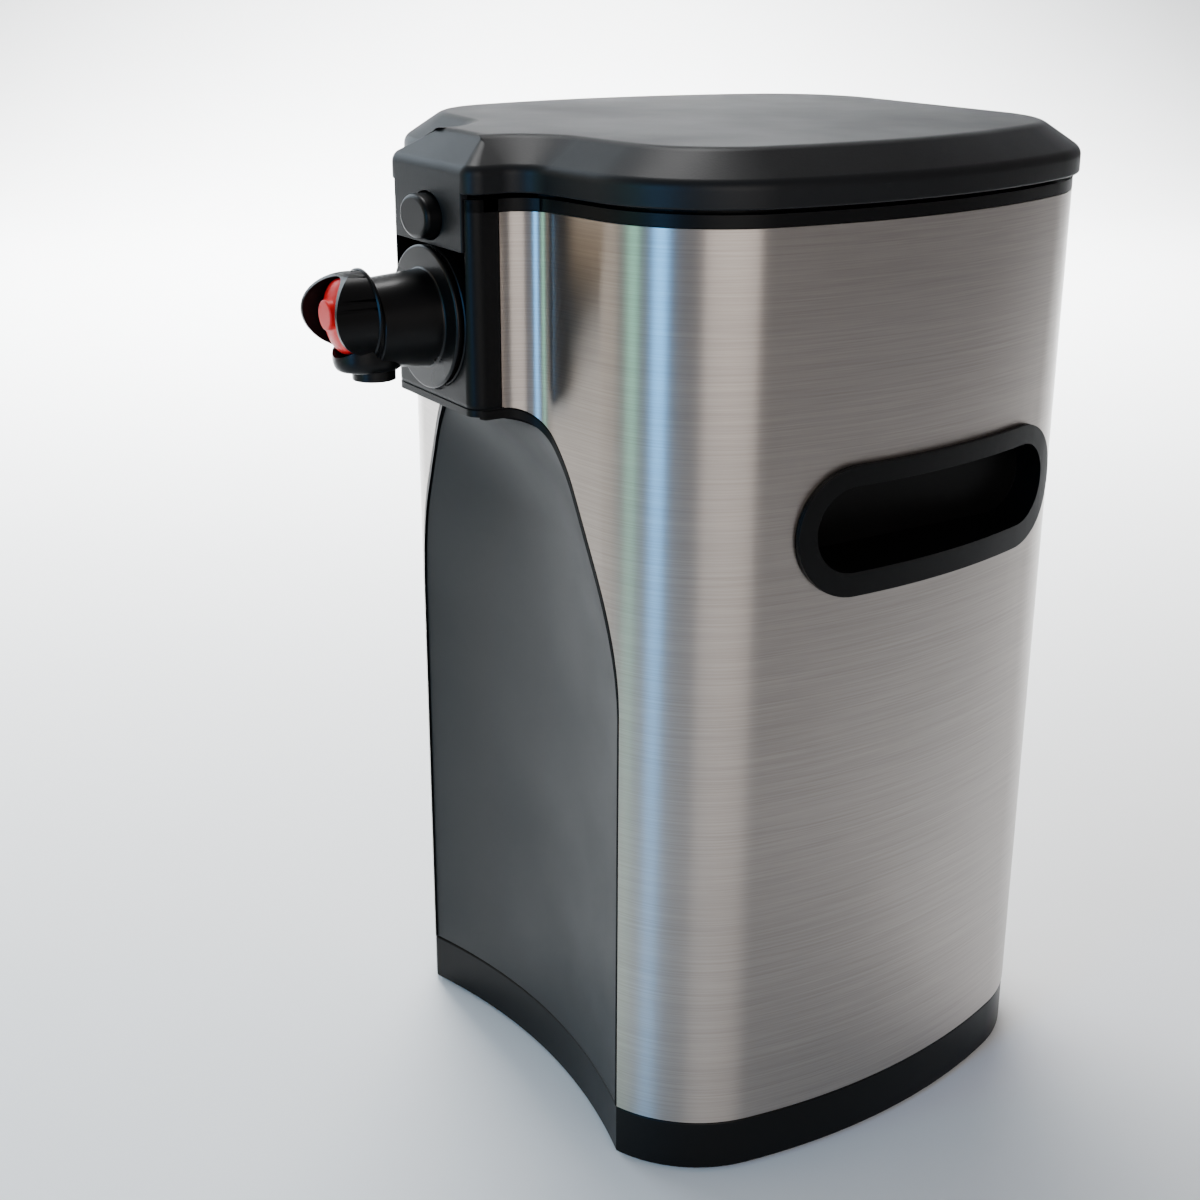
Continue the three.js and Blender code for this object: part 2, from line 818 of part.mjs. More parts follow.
function frontBezel() {
  const behind = -steel.thickness - gap;
  const inside = behind - bezel.wall;
  const front = plan.noseY - overrun;
  const trimLow = tall.base + gap;
  const opening = archPrism(arch.trimSide, arch.trimDrop, front - overrun, liner.frontY + overrun);
  const trimZone = cut(archPrism(gap, gap, front, liner.frontY - gap), opening);
  const lapZone = cut(archPrism(-arch.lap, -arch.lap, front, liner.frontY - gap), opening);
  const above = box(-plan.halfWidth, plan.halfWidth, front, plan.backY, trimLow, tall.steel);
  const trims = common(common(bodyRing(inside, 0, trimLow, tall.steel), trimZone), above);
  const laps = common(common(bodyRing(inside, behind, trimLow, level.bezelSide), lapZone), above);

  const noseFace = box(-plan.noseHalf, plan.noseHalf, front, steel.noseEdgeY - gap, level.chin, level.rim);
  const face = common(bodyRing(inside, 0, level.chin, level.rim), noseFace);
  const rimZone = box(-plan.halfWidth, plan.halfWidth, front, bezel.rimJointY, level.chin, level.rim);
  const rim = common(bodyRing(inside, 0, tall.steel + gap, level.rim), rimZone);
  const rimFoot = common(bodyRing(inside, behind, level.chin, level.rim), rimZone);

  const wallOuter = plan.noseHalf + behind;
  const wallInner = plan.noseHalf + inside;
  const walls = [-1, 1].map((side) =>
    box(
      ...span(side * wallInner, side * wallOuter),
      plan.noseY + plan.noseCorner, bezel.backY, level.chin, level.bezelSide,
    ),
  );
  const floorZone = box(-wallOuter, wallOuter, front, bezel.backY, level.chin, level.chin + bezel.chinFloor);
  const noseTail = box(-wallOuter, wallOuter, steel.noseEdgeY, bezel.backY, level.chin, level.rim);
  const floor = common(floorZone, join(bodyPrism(0, level.chin, level.rim), noseTail));
  const floorFront = common(floor, noseFace);
  const floorBack = common(floor, noseTail);

  const cradleBack = bezel.cradleFrontY + bezel.cradleWall;
  const cradle = box(
    -wallInner - gap, wallInner + gap, bezel.cradleFrontY, cradleBack,
    level.chin + bezel.chinFloor - gap, level.cradle,
  );
  const ledges = [-1, 1].map((side) =>
    box(
      ...span(side * (button.sliderHalf + gap), side * (wallInner + gap)),
      latch.ledgeBack - bezel.ledgeDepth, latch.ledgeBack,
      level.ledge, level.ledge + bezel.ledgeHeight,
    ),
  );
  const slot = uCut(tap.slotRadius, front, bezel.cradleFrontY + overrun);
  const neck = uCut(tap.glandNeck + 2 * gap, front, cradleBack + overrun);
  const chinSoft = cut(
    box(-plan.noseHalf - overrun, plan.noseHalf + overrun, front, steel.noseEdgeY - gap,
      level.chin - overrun, level.chin + bezel.chinCorner),
    prism(
      roundedRectangle(-plan.noseHalf, plan.noseHalf, level.chin, level.rim, bezel.chinCorner),
      front - overrun, steel.noseEdgeY, "y",
    ),
  );
  const body = join(trims, laps, face, rim, rimFoot, ...walls, floorFront, floorBack);
  return join(cut(body, slot, chinSoft), cut(cradle, neck), ...ledges);
}

// Front panel: hollow in plan, with a cove that runs up and forward under the nose

function frontPanel() {
  const low = tall.base + gap;
  const high = level.chin - gap;
  const side = arch.trimSide + gap;
  const drop = arch.trimDrop + gap;
  const edge = archSide(side, drop);
  const [xTop, zTop] = edge[edge.length - 1];
  const nose = plan.noseHalf - side;
  const fall = Math.tan((90 - arch.lowTurn - arch.topTurn) * degrees);
  const outer = [...edge, [nose, zTop + (xTop - nose) * fall]];
  const halfAt = (z) => {
    const i = outer.findIndex(([, height]) => height >= z);
    if (i < 0) return nose;
    if (i === 0) return outer[0][0];
    const [xa, za] = outer[i - 1];
    const [xb, zb] = outer[i];
    return xa + ((xb - xa) * (z - za)) / (zb - za);
  };
  const hollowY = flankDepth(across.arch) + base.hollow;
  const middleAt = (z) => {
    const share = Math.max(0, (z - level.cove) / panel.coveHeight);
    return hollowY - panel.coveReach * (1 - Math.sqrt(1 - share ** 2));
  };
  const heights = [
    ...Array.from({ length: facets.panelUp }, (_, i) => low + ((level.cove - low) * i) / facets.panelUp),
    ...Array.from({ length: facets.panelCove + 1 }, (_, i) =>
      level.cove + (high - level.cove) * Math.sin((90 * i * degrees) / facets.panelCove)),
  ];
  const depthAt = (x, z) => {
    const half = halfAt(z);
    const edgeY = flankDepth(Math.max(half, plan.noseHalf + plan.valleyRadius)) + panel.recess;
    const noseShare = Math.max(0, (z - level.cove) / panel.coveHeight) ** panel.coveBlend;
    const rim = edgeY + (middleAt(z) - edgeY) * noseShare;
    return rim + (middleAt(z) - rim) * (1 - (x / half) ** 2);
  };
  const grid = (back) =>
    heights.map((z) => {
      const half = halfAt(z);
      return Array.from({ length: facets.panelAcross + 1 }, (_, j) => {
        const x = half * ((2 * j) / facets.panelAcross - 1);
        return [x, depthAt(x, z) + back, z];
      });
    });
  return slab(grid(0), grid(panel.thickness));
}

// Chamber liner with its deck, rim and bosses

const chamber = {
  half: across.liner - liner.wall,
  frontY: liner.frontY + liner.wall,
  backY: liner.backY - liner.wall,
  floor: liner.bottom + liner.wall,
  deckBottom: tall.steel + gap - liner.deckThickness,
  passageHalf: plan.noseHalf - steel.thickness - 2 * gap - bezel.wall,
};
const deckBoss = chamber.deckBottom - liner.rodBossLength;
const hingeScrewZ = level.hingePlate - hinge.screwDrop;
const platformTop = chamber.floor + lift.floorClear + lift.platformSkirt;
const platformUnder = platformTop - lift.platformThickness;
const armTop = platformUnder - gap;
const armLow = armTop - lift.armHeight;

function chamberLiner() {
  const deckTop = tall.steel + gap;
  const behind = -steel.thickness - gap;
  const outer = roundedRectangle(-across.liner, across.liner, liner.frontY, liner.backY, liner.corner);
  const inner = roundedRectangle(
    -chamber.half, chamber.half, chamber.frontY, chamber.backY, liner.corner - liner.wall,
  );
  const ahead = box(
    -plan.halfWidth - overrun, plan.halfWidth + overrun, plan.noseY - overrun, bezel.rimJointY + gap,
    0, level.lid,
  );
  const rim = bodyRing(-liner.rimWidth, 0, deckTop, level.rim);
  const deck = bodyPrism(behind, chamber.deckBottom, deckTop + gap);
  let made = join(prism(outer, liner.bottom, deckTop), cut(join(rim, deck), ahead));
  for (const side of [-1, 1]) {
    made = join(
      made,
      bar(liner.rodBossRadius, deckBoss, chamber.deckBottom + gap, "z", side * across.rod, rodY),
      common(
        box(
          ...span(side * (hinge.screwX - hinge.blockHalf), side * (hinge.screwX + hinge.blockHalf)),
          plan.backY + behind - hinge.blockDepth, plan.backY + behind,
          hingeScrewZ - hinge.blockHalf, chamber.deckBottom + gap,
        ),
        bodyPrism(behind, hingeScrewZ - hinge.blockHalf - overrun, chamber.deckBottom + overrun),
      ),
    );
  }
  made = cut(
    made,
    prism(inner, chamber.floor, level.lid),
    box(-chamber.passageHalf, chamber.passageHalf, plan.noseY, chamber.frontY + gap,
      level.chin + bezel.chinFloor, level.lid),
  );
  for (const [x, y] of Object.values(baseScrewPlaces)) {
    const bossTop = baseScrewTop + runningGap;
    made = join(made, bar(liner.bossRadius, tall.base + gap, bossTop, "z", x, y));
    made = cut(made, bar(screw.radius + gap, tall.base, baseScrewTop + gap, "z", x, y, facets.tiny));
  }
  for (const side of [-1, 1]) {
    const half = lift.armWidth / 2 + lift.slotMargin;
    made = cut(
      made,
      box(side * lift.armX - half, side * lift.armX + half, chamber.backY - gap, liner.backY + gap,
        armLow - lift.slotMargin, armTop + lift.travel + lift.slotMargin),
      bar(rod.radius + gap, deckBoss - overrun, chamber.deckBottom, "z", side * across.rod, rodY),
      bar(screw.radius + gap, plan.backY - screw.reach - gap, plan.backY, "y", side * hinge.screwX,
        hingeScrewZ, facets.tiny),
    );
  }
  for (const z of bracketScrewHeights) {
    made = cut(made, bar(screw.radius + gap, chamber.backY - gap, liner.backY + gap, "y", 0, z, facets.tiny));
  }
  return made;
}

const guideRod = (side) =>
  bar(rod.radius, tall.base + gap, chamber.deckBottom - gap, "z", side * across.rod, rodY);

// A pan head screw along y. Its head lies on the side of the seat that sign points to.
function levelScrew(x, z, seat, reach, sign) {
  const crown = screw.headRadius * screw.crownShare;
  const [tip, root] = [seat - sign * reach, seat + sign * gap];
  const [middle, end] = [seat + (sign * screw.headHeight) / 2, seat + sign * screw.headHeight];
  const radii = sign > 0 ? [screw.headRadius, crown] : [crown, screw.headRadius];
  return join(
    bar(screw.radius, ...span(tip, root), "y", x, z, facets.tiny),
    bar(screw.headRadius, ...span(seat, middle), "y", x, z, facets.tiny),
    bar(radii[0], ...span(middle, end), "y", x, z, facets.tiny, radii[1]),
  );
}

// Lift platform, carriage and bushes

const tapeFront = spring.y - spring.coilRadius - gap - spring.tape;
const barFront = tapeFront + spring.tape + gap;
const barBottom = tall.base + rod.socket + lift.barClear;
const armFront = chamber.backY - lift.armLap;
const armScrewY = armFront + lift.armWidth;
const tapeScrewZ = barBottom + lift.barHeight / 2;

function liftPlatform() {
  const half = chamber.half - runningGap;
  const [front, back] = [chamber.frontY + runningGap, chamber.backY - runningGap];
  const low = chamber.floor + lift.floorClear;
  const corner = liner.corner - liner.wall - runningGap;
  const outer = roundedRectangle(-half, half, front, back, corner);
  const inner = roundedRectangle(
    -half + lift.platformWall, half - lift.platformWall, front + lift.platformWall, back - lift.platformWall,
    corner - lift.platformWall,
  );
  let made = cut(
    prism(outer, low, platformTop + lift.lipHeight),
    prism(inner, platformTop, platformTop + lift.lipHeight + overrun),
    prism(inner, low - overrun, platformUnder),
  );
  const count = Math.floor((half - lift.platformWall) / lift.ribPitch);
  for (let i = -count; i <= count; i++) {
    const x = i * lift.ribPitch;
    made = join(
      made,
      box(x - lift.ribThickness / 2, x + lift.ribThickness / 2, front + gap, armFront - runningGap,
        armLow, platformUnder + gap),
    );
  }
  for (const side of [-1, 1]) {
    const x = side * lift.armX;
    const notch = lift.armWidth / 2 + gap;
    made = cut(
      made,
      box(x - notch, x + notch, back - 2 * lift.platformWall, back + overrun, low - overrun, platformUnder),
      bar(screw.radius + gap, low, armLow + screw.reach + gap, "z", x, armScrewY, facets.tiny),
    );
  }
  return made;
}

function liftCarriage() {
  let made = box(-across.bar, across.bar, barFront, barFront + lift.barDepth, barBottom,
    barBottom + lift.barHeight);
  for (const side of [-1, 1]) {
    const x = side * lift.armX;
    const half = lift.armWidth / 2;
    made = join(made, box(x - half, x + half, armFront, barFront + gap, armLow, armTop));
    made = cut(
      made,
      bar(rod.bushRadius + gap, 0, platformTop + overrun, "z", side * across.rod, rodY),
      bar(screw.radius + gap, 0, platformTop, "z", x, armScrewY, facets.tiny),
      bar(screw.radius + gap, barFront - overrun, barFront + screw.reach, "y", side * across.drum, tapeScrewZ,
        facets.tiny),
    );
  }
  return made;
}

const bush = (side) =>
  cut(
    bar(rod.bushRadius, barBottom - gap, barBottom + lift.barHeight + rod.bushProud, "z", side * across.rod,
      rodY),
    bar(rod.radius + gap, 0, platformTop + overrun, "z", side * across.rod, rodY),
  );

// Constant force springs on their drums

const bracketScrewHeights = [level.spring - spring.earRadius - gap, level.spring + spring.earRadius + gap];
const cheekOuter = spring.width / 2 + gap + spring.cheek;
const earInner = cheekOuter + gap;
const earOuter = earInner + spring.bracket;

function springBracket() {
  const [front, back] = [liner.backY + gap, liner.backY + gap + spring.bracket];
  const half = spring.plateHeight / 2;
  let made = box(-across.bracket, across.bracket, front, back, level.spring - half, level.spring + half);
  for (const x of [-across.drum, across.drum]) {
    for (const [low, high] of [[-earOuter, -earInner], [earInner, earOuter]]) {
      const ear = [
        [back - gap, level.spring - spring.earRadius],
        ...arcPoints(spring.y, level.spring, spring.earRadius, -90, 90, facets.arc),
        [back - gap, level.spring + spring.earRadius],
      ];
      made = join(made, prism(ear, x + low, x + high, "x"));
    }
    const [left, right] = [x - 2 * earOuter, x + 2 * earOuter];
    made = cut(made, bar(spring.axleRadius + gap, left, right, "x", spring.y, level.spring));
  }
  const holes = bracketScrewHeights.map((z) =>
    bar(screw.radius + gap, front - overrun, back + overrun, "y", 0, z, facets.tiny));
  return cut(made, ...holes);
}

const springDrum = (x) =>
  cut(
    join(
      bar(spring.coreRadius, x - cheekOuter, x + cheekOuter, "x", spring.y, level.spring),
      bar(spring.cheekRadius, x - cheekOuter, x - cheekOuter + spring.cheek, "x", spring.y, level.spring),
      bar(spring.cheekRadius, x + cheekOuter - spring.cheek, x + cheekOuter, "x", spring.y, level.spring),
    ),
    bar(spring.axleRadius + gap, x - earOuter, x + earOuter, "x", spring.y, level.spring),
  );

const springCoil = (x) =>
  cut(
    bar(spring.coilRadius, x - spring.width / 2, x + spring.width / 2, "x", spring.y, level.spring,
      facets.round),
    bar(spring.coreRadius + gap, x - earOuter, x + earOuter, "x", spring.y, level.spring, facets.round),
  );

const springTape = (x) =>
  cut(
    box(x - spring.width / 2, x + spring.width / 2, tapeFront, tapeFront + spring.tape,
      barBottom + gap, level.spring),
    bar(screw.radius + gap, tapeFront - overrun, tapeFront + overrun, "y", x, tapeScrewZ, facets.tiny),
  );

const drumAxle = (x) =>
  join(
    bar(spring.axleRadius, x - earOuter - 2 * gap, x + earOuter + 2 * gap, "x", spring.y, level.spring),
    bar(spring.axleHead, x - earOuter - gap - spring.cheek, x - earOuter - gap, "x", spring.y, level.spring),
    bar(spring.axleHead, x + earOuter + gap, x + earOuter + gap + spring.cheek, "x", spring.y, level.spring),
  );

// Gland and tap

const glandFront = bezel.cradleFrontY - gap - tap.glandFlange;
const cradleEnd = bezel.cradleFrontY + bezel.cradleWall;
const discBack = glandFront - tap.discGap;
const discFront = discBack - tap.discThickness;

function bagGland() {
  const rear = cradleEnd + gap + tap.glandRearThickness;
  return turned(
    [
      [tap.glandBore, glandFront],
      [tap.glandRadius, glandFront],
      [tap.glandRadius, glandFront + tap.glandFlange],
      [tap.glandNeck, glandFront + tap.glandFlange],
      [tap.glandNeck, cradleEnd + gap],
      [tap.glandRear, cradleEnd + gap],
      [tap.glandRear, rear],
      [tap.glandBore, rear],
      [tap.glandBore, glandFront],
    ],
    0,
    level.tap,
  );
}

// The chest below the tap's barrel, which the outlet leaves: long along y with half round ends.
function tapChest() {
  const layer = (inset, z) => {
    const radius = tap.chestRadius - inset;
    return {
      z,
      points: [
        ...arcPoints(0, tap.outletY, radius, 0, 180, facets.oval),
        ...arcPoints(0, tap.chestFrontY, radius, 180, 360, facets.oval),
      ],
    };
  };
  const soft = tap.chestSoft;
  const steps = arcPoints(0, 0, soft, 270, 360, facets.soft, soft);
  return loft([
    ...steps.map(([reach, drop]) => layer((soft - reach) / 2, level.chest + soft + drop)),
    layer(0, level.chestTop),
  ]);
}

function tapBody() {
  const spigotBack = discBack + tap.spigotReach;
  const far = tap.headSideY - tap.headSideRadius - overrun;
  const shank = join(
    bar(tap.glandBore - gap, discBack - gap, spigotBack, "y", 0, level.tap, facets.round),
    bar(tap.discRadius, discFront, discBack, "y", 0, level.tap, facets.round),
    bar(tap.barrelFront, tap.barrelEndY, discFront + gap, "y", 0, level.tap, facets.round, tap.barrelRoot),
    bar(tap.grooveRadius, tap.headStartY - gap, tap.barrelEndY + gap, "y", 0, level.tap, facets.round),
    bar(tap.headRadius + tap.beadProud, tap.headStartY - tap.beadWidth, tap.headStartY, "y", 0, level.tapHead,
      facets.round),
  );
  const head = common(
    bar(tap.headRadius, far, tap.headStartY, "y", 0, level.tapHead, facets.round),
    join(
      bar(tap.headSideRadius, -tap.headRadius, tap.headRadius, "x", tap.headSideY, level.tapHeadSide,
        facets.round),
      box(-tap.headRadius, tap.headRadius, tap.headSideY, tap.headStartY,
        level.tapHead - tap.headRadius, level.tapHead + tap.headRadius),
    ),
  );
  const outlet = join(
    tapChest(),
    bar(tap.outletRadius, level.outlet, level.chest + tap.chestSoft, "z", 0, tap.outletY, facets.round),
  );
  const seatBack = tap.seatY + tap.seatWall;
  const hollow = join(
    bar(tap.headRadius - tap.headWall, far - overrun, mouthBack, "y", 0, level.tapHead, facets.round),
    bar(tap.bore, mouthBack - gap, tap.seatY, "y", 0, level.tap, facets.round),
    bar(tap.seatHole, tap.seatY - gap, seatBack + gap, "y", 0, level.tap, facets.round),
    bar(tap.bore, seatBack, spigotBack + overrun, "y", 0, level.tap, facets.round),
    bar(tap.outletBore, level.outlet - overrun, level.tap, "z", 0, tap.outletY, facets.small),
  );
  return cut(join(shank, head, outlet), hollow);
}

const mouthBack = tap.capY + tap.travel + gap;

function tapButton() {
  const rim = tap.capY - tap.capSkirt;
  const face = tap.capY - tap.bossReach;
  const dome = turned(
    [
      [0, tap.capY],
      [tap.capRadius, tap.capY],
      ...arcPoints(0, rim, tap.capRadius, 0, -90, facets.arc, tap.capDome),
    ],
    0,
    level.tapHead,
  );
  const bossZ = level.tapHead + tap.bossRise;
  return join(
    dome,
    bar(tap.bossRadius, face + gap, rim, "y", 0, bossZ),
    bar(tap.bossRadius - gap, face, face + 2 * gap, "y", 0, bossZ, facets.small, tap.bossRadius),
  );
}

const valveStem = () => {
  const plugFront = tap.seatY + tap.seatWall + gap;
  return join(
    bar(tap.stemRadius, tap.capY + gap, plugFront + gap, "y", 0, level.tap),
    bar(tap.plugRadius, plugFront, plugFront + tap.plugThickness, "y", 0, level.tap, facets.round),
  );
};

// Lid

const lidOutline = (inset) => outline(lid.overhang - inset, lid.noseOverhang - inset);
const lidScrewPlaces = {
  front_left: [-across.lidScrew, screw.lidFrontY],
  front_right: [across.lidScrew, screw.lidFrontY],
  rear_left: [-across.lidScrew, screw.lidRearY],
  rear_right: [across.lidScrew, screw.lidRearY],
};
const lidLinerLow = level.lidBottom + tall.seam / 2;
const lidLinerHigh = lidLinerLow + lid.linerThickness;
const hingeY = plan.backY + hinge.offset;
const hingeZ = level.rim - hinge.drop;

function lidShell() {
  const rise = level.lid - level.shoulder;
  const slope = rise / lid.chamferInset;
  const soft = lid.softEdge;
  const outer = loft([
    { points: lidOutline(0), z: level.lidBottom },
    { points: lidOutline(0), z: level.shoulder - soft },
    { points: lidOutline(soft / 4), z: level.shoulder - soft / 4 },
    { points: lidOutline(soft), z: level.shoulder + soft * slope },
    { points: lidOutline(lid.chamferInset - soft), z: level.lid - soft * slope },
    { points: lidOutline(lid.chamferInset + soft), z: level.lid },
  ]);
  const roof = level.lid - lid.wall;
  const inner = loft([
    { points: lidOutline(lid.wall), z: level.lidBottom - overrun },
    { points: lidOutline(lid.wall), z: level.shoulder - lid.wall / 2 },
    { points: lidOutline(lid.chamferInset + lid.wall / 2), z: roof },
  ]);
  let made = cut(outer, inner);
  for (const [x, y] of Object.values(lidScrewPlaces)) {
    made = join(made, bar(lid.bossRadius, lidLinerHigh + gap, roof + gap, "z", x, y));
    const top = lidLinerLow + screw.reach;
    made = cut(made, bar(screw.radius + gap, lidLinerLow, top, "z", x, y, facets.tiny));
  }
  const tongue = box(-lid.tongueHalf, lid.tongueHalf, tongueFront, tongueBack, level.tongue,
    level.lidBottom + runningGap);
  const pit = prism(
    arcPoints(0, level.button, button.halfWidth + button.pit, 0, 360, facets.round,
      button.halfHeight + button.pit).slice(1),
    tongueFront - overrun, tongueBack + gap, "y",
  );
  const half = hinge.centreHalf;
  const knuckle = join(
    bar(hinge.knuckleRadius, -half, half, "x", hingeY, hingeZ),
    box(-half, half, plan.backY + lid.overhang - gap, hingeY, level.lidBottom,
      level.lidBottom + hinge.knuckleRadius),
  );
  const pinHole = bar(hinge.pinRadius + gap, -half - overrun, half + overrun, "x", hingeY, hingeZ);
  return cut(join(made, tongue, knuckle), pit, pinHole);
}

function lidLiner() {
  const inset = lid.wall + gap;
  const edge = outline(lid.overhang - inset, lid.noseOverhang - inset - gap);
  const plate = prism(edge, lidLinerLow, lidLinerHigh);
  const plug = cut(
    bodyRing(-lid.plugInset - liner.wall, -lid.plugInset, lidLinerLow - lid.plugDepth - tall.seam,
      lidLinerLow + gap),
    box(-plan.noseHalf, plan.noseHalf, plan.noseY - overrun, chamber.frontY, 0, level.lid),
  );
  const wall = box(-button.springWallHalf, button.springWallHalf, latch.wallFront,
    latch.wallFront + button.springWall, sliderLow, lidLinerLow + gap);
  const holes = Object.values(lidScrewPlaces).map(([x, y]) =>
    bar(screw.radius + gap, lidLinerLow - overrun, lidLinerHigh + overrun, "z", x, y, facets.tiny));
  return cut(join(plate, plug, wall), ...holes);
}

const sliderLow = level.tongue + 2 * runningGap;

function lidButton() {
  const oval = (grow) =>
    arcPoints(0, level.button, button.halfWidth + grow, 0, 360, facets.round,
      button.halfHeight + grow).slice(1);
  const front = tongueFront - button.proud;
  const lap = button.pit + button.flangeLap;
  return join(
    prism(oval(-button.softEdge), front, front + button.softEdge, "y"),
    prism(oval(0), front + button.softEdge / 2, latch.flangeFront + gap, "y"),
    prism(oval(lap), latch.flangeFront, latch.flangeFront + button.flange, "y"),
  );
}

function latchSlider() {
  const lugs = [-1, 1].map((side) =>
    box(
      ...span(side * (button.sliderHalf - gap), side * (button.sliderHalf + button.lugReach)),
      latch.sliderFront, latch.sliderBack,
      level.ledge - runningGap - button.lugHeight / 2, level.ledge - runningGap,
    ),
  );
  return join(
    box(-button.sliderHalf, button.sliderHalf, latch.sliderFront, latch.sliderBack, sliderLow,
      sliderLow + button.sliderHeight),
    ...lugs,
  );
}

class Helix extends THREE.Curve {
  constructor(radius, turnCount, low, high, z) {
    super();
    Object.assign(this, { radius, turnCount, low, high, z });
  }

  getPoint(t, target = new THREE.Vector3()) {
    const angle = 2 * Math.PI * this.turnCount * t;
    return target.set(
      this.radius * Math.cos(angle),
      this.low + (this.high - this.low) * t,
      this.z + this.radius * Math.sin(angle),
    );
  }
}

function buttonSpring() {
  const wire = button.springWire / 2;
  const path = new Helix(
    button.springRadius, button.springTurns, latch.sliderBack + gap + wire, latch.wallFront - gap - wire,
    sliderLow + button.sliderHeight / 2,
  );
  const section = new THREE.Shape(
    arcPoints(0, 0, wire, 0, 360, facets.wire).slice(1).map(([u, v]) => new THREE.Vector2(u, v)),
  );
  return solid(
    new THREE.ExtrudeGeometry(section, {
      extrudePath: path,
      steps: facets.springTurn * button.springTurns,
      bevelEnabled: false,
    }),
  );
}

// Hinge at the back

function hingeBracket() {
  const front = plan.backY + gap;
  const back = front + hinge.plateThickness;
  const half = hinge.outerHalf;
  let made = box(-half, half, front, back, level.hingePlate - hinge.plateHeight, level.hingePlate);
  for (const side of [-1, 1]) {
    const ends = span(side * (hinge.centreHalf + gap), side * half);
    made = join(
      made,
      bar(hinge.knuckleRadius, ...ends, "x", hingeY, hingeZ),
      box(...ends, front, hingeY, level.hingePlate - hinge.knuckleRadius, hingeZ),
    );
    made = cut(made, bar(screw.radius + gap, front - overrun, back + overrun, "y", side * hinge.screwX,
      hingeScrewZ, facets.tiny));
  }
  return cut(made, bar(hinge.pinRadius + gap, -half - overrun, half + overrun, "x", hingeY, hingeZ));
}

function hingePin() {
  const end = hinge.outerHalf + gap;
  return join(
    bar(hinge.pinRadius, -end - gap, end + gap, "x", hingeY, hingeZ, facets.tiny),
    bar(hinge.pinHead, -end - hinge.pinHeadLength, -end, "x", hingeY, hingeZ, facets.tiny),
    bar(hinge.pinHead, end, end + hinge.pinHeadLength, "x", hingeY, hingeZ, facets.tiny),
  );
}

// Finishes

const finish = (name, color, roughness, metalness = 0) =>
  new THREE.MeshStandardMaterial({ name, color, roughness, metalness });
const finishes = {
  steel: () => finish("brushed stainless steel", 0xb8b0a8, 0.32, 1),
  zinc: () => finish("zinc plated steel", 0xa8abad, 0.35, 1),
  springSteel: () => finish("spring steel", 0x8d9092, 0.3, 1),
  black: () => finish("satin black ABS", 0x161618, 0.42),
  lidBlack: () => finish("textured black ABS", 0x1c1d1f, 0.5),
  grey: () => finish("matt dark grey ABS", 0x3c3d3f, 0.62),
  inner: () => finish("light grey ABS", 0xc9cbcc, 0.55),
  rubber: () => finish("black rubber", 0x101010, 0.85),
  nylon: () => finish("white nylon", 0xe8e6df, 0.5),
  tapBlack: () => finish("black polypropylene", 0x141416, 0.36),
  red: () => finish("red elastomer", 0xd23038, 0.38),
};

const machine = new THREE.Group();
const lidGroup = new THREE.Group();
const platformGroup = new THREE.Group();
machine.add(lidGroup, platformGroup);

function place(group, name, made, material) {
  const mesh = new THREE.Mesh(geometryOf(made), material);
  mesh.name = name;
  group.add(mesh);
}

place(machine, "base_tray", baseTray(), finishes.black());
for (const [where, at] of Object.entries(footPlaces)) {
  place(machine, `foot_${where}`, rubberFoot(at), finishes.rubber());
}
for (const [where, [x, y]] of Object.entries(baseScrewPlaces)) {
  place(machine, `base_screw_${where}`, standingScrew(x, y, baseScrewSeat, screw.reach), finishes.zinc());
}
place(machine, "steel_wrap", cut(steelWrap(), ...hingeScrewHoles()), finishes.steel());
place(machine, "front_bezel", frontBezel(), finishes.black());
place(machine, "front_panel", frontPanel(), finishes.grey());
place(machine, "chamber_liner", chamberLiner(), finishes.black());
const cup = handleCup();
place(machine, "handle_cup_right", cup, finishes.black());
place(machine, "handle_cup_left", mirrored(cup), finishes.black());
place(machine, "hinge_bracket", hingeBracket(), finishes.black());
place(machine, "hinge_pin", hingePin(), finishes.zinc());
place(machine, "spring_bracket", springBracket(), finishes.zinc());
bracketScrewHeights.forEach((z, i) => {
  const seat = liner.backY + 2 * gap + spring.bracket;
  const name = `bracket_screw_${i ? "upper" : "lower"}`;
  place(machine, name, levelScrew(0, z, seat, screw.shortReach, 1), finishes.zinc());
});
place(machine, "bag_gland", bagGland(), finishes.tapBlack());
place(machine, "tap_body", tapBody(), finishes.tapBlack());
place(machine, "tap_push_button", tapButton(), finishes.red());
place(machine, "tap_valve_stem", valveStem(), finishes.nylon());
for (const [side, sign] of [["left", -1], ["right", 1]]) {
  const x = sign * across.drum;
  const hingeSeat = plan.backY + 2 * gap + hinge.plateThickness;
  place(machine, `guide_rod_${side}`, guideRod(sign), finishes.zinc());
  place(machine, `drum_axle_${side}`, drumAxle(x), finishes.zinc());
  place(machine, `spring_drum_${side}`, springDrum(x), finishes.nylon());
  place(machine, `spring_coil_${side}`, springCoil(x), finishes.springSteel());
  place(machine, `spring_tape_${side}`, springTape(x), finishes.springSteel());
  place(machine, `hinge_screw_${side}`,
    levelScrew(sign * hinge.screwX, hingeScrewZ, hingeSeat, screw.reach, 1), finishes.zinc());
  place(platformGroup, `guide_bush_${side}`, bush(sign), finishes.nylon());
  place(platformGroup, `platform_screw_${side}`,
    standingScrew(sign * lift.armX, armScrewY, armLow - gap, screw.reach), finishes.zinc());
  place(platformGroup, `tape_screw_${side}`,
    levelScrew(x, tapeScrewZ, tapeFront - gap, screw.reach - gap, -1), finishes.zinc());
}
place(platformGroup, "lift_platform", liftPlatform(), finishes.inner());
place(platformGroup, "lift_carriage", liftCarriage(), finishes.black());
place(lidGroup, "lid_shell", lidShell(), finishes.lidBlack());
place(lidGroup, "lid_liner", lidLiner(), finishes.black());
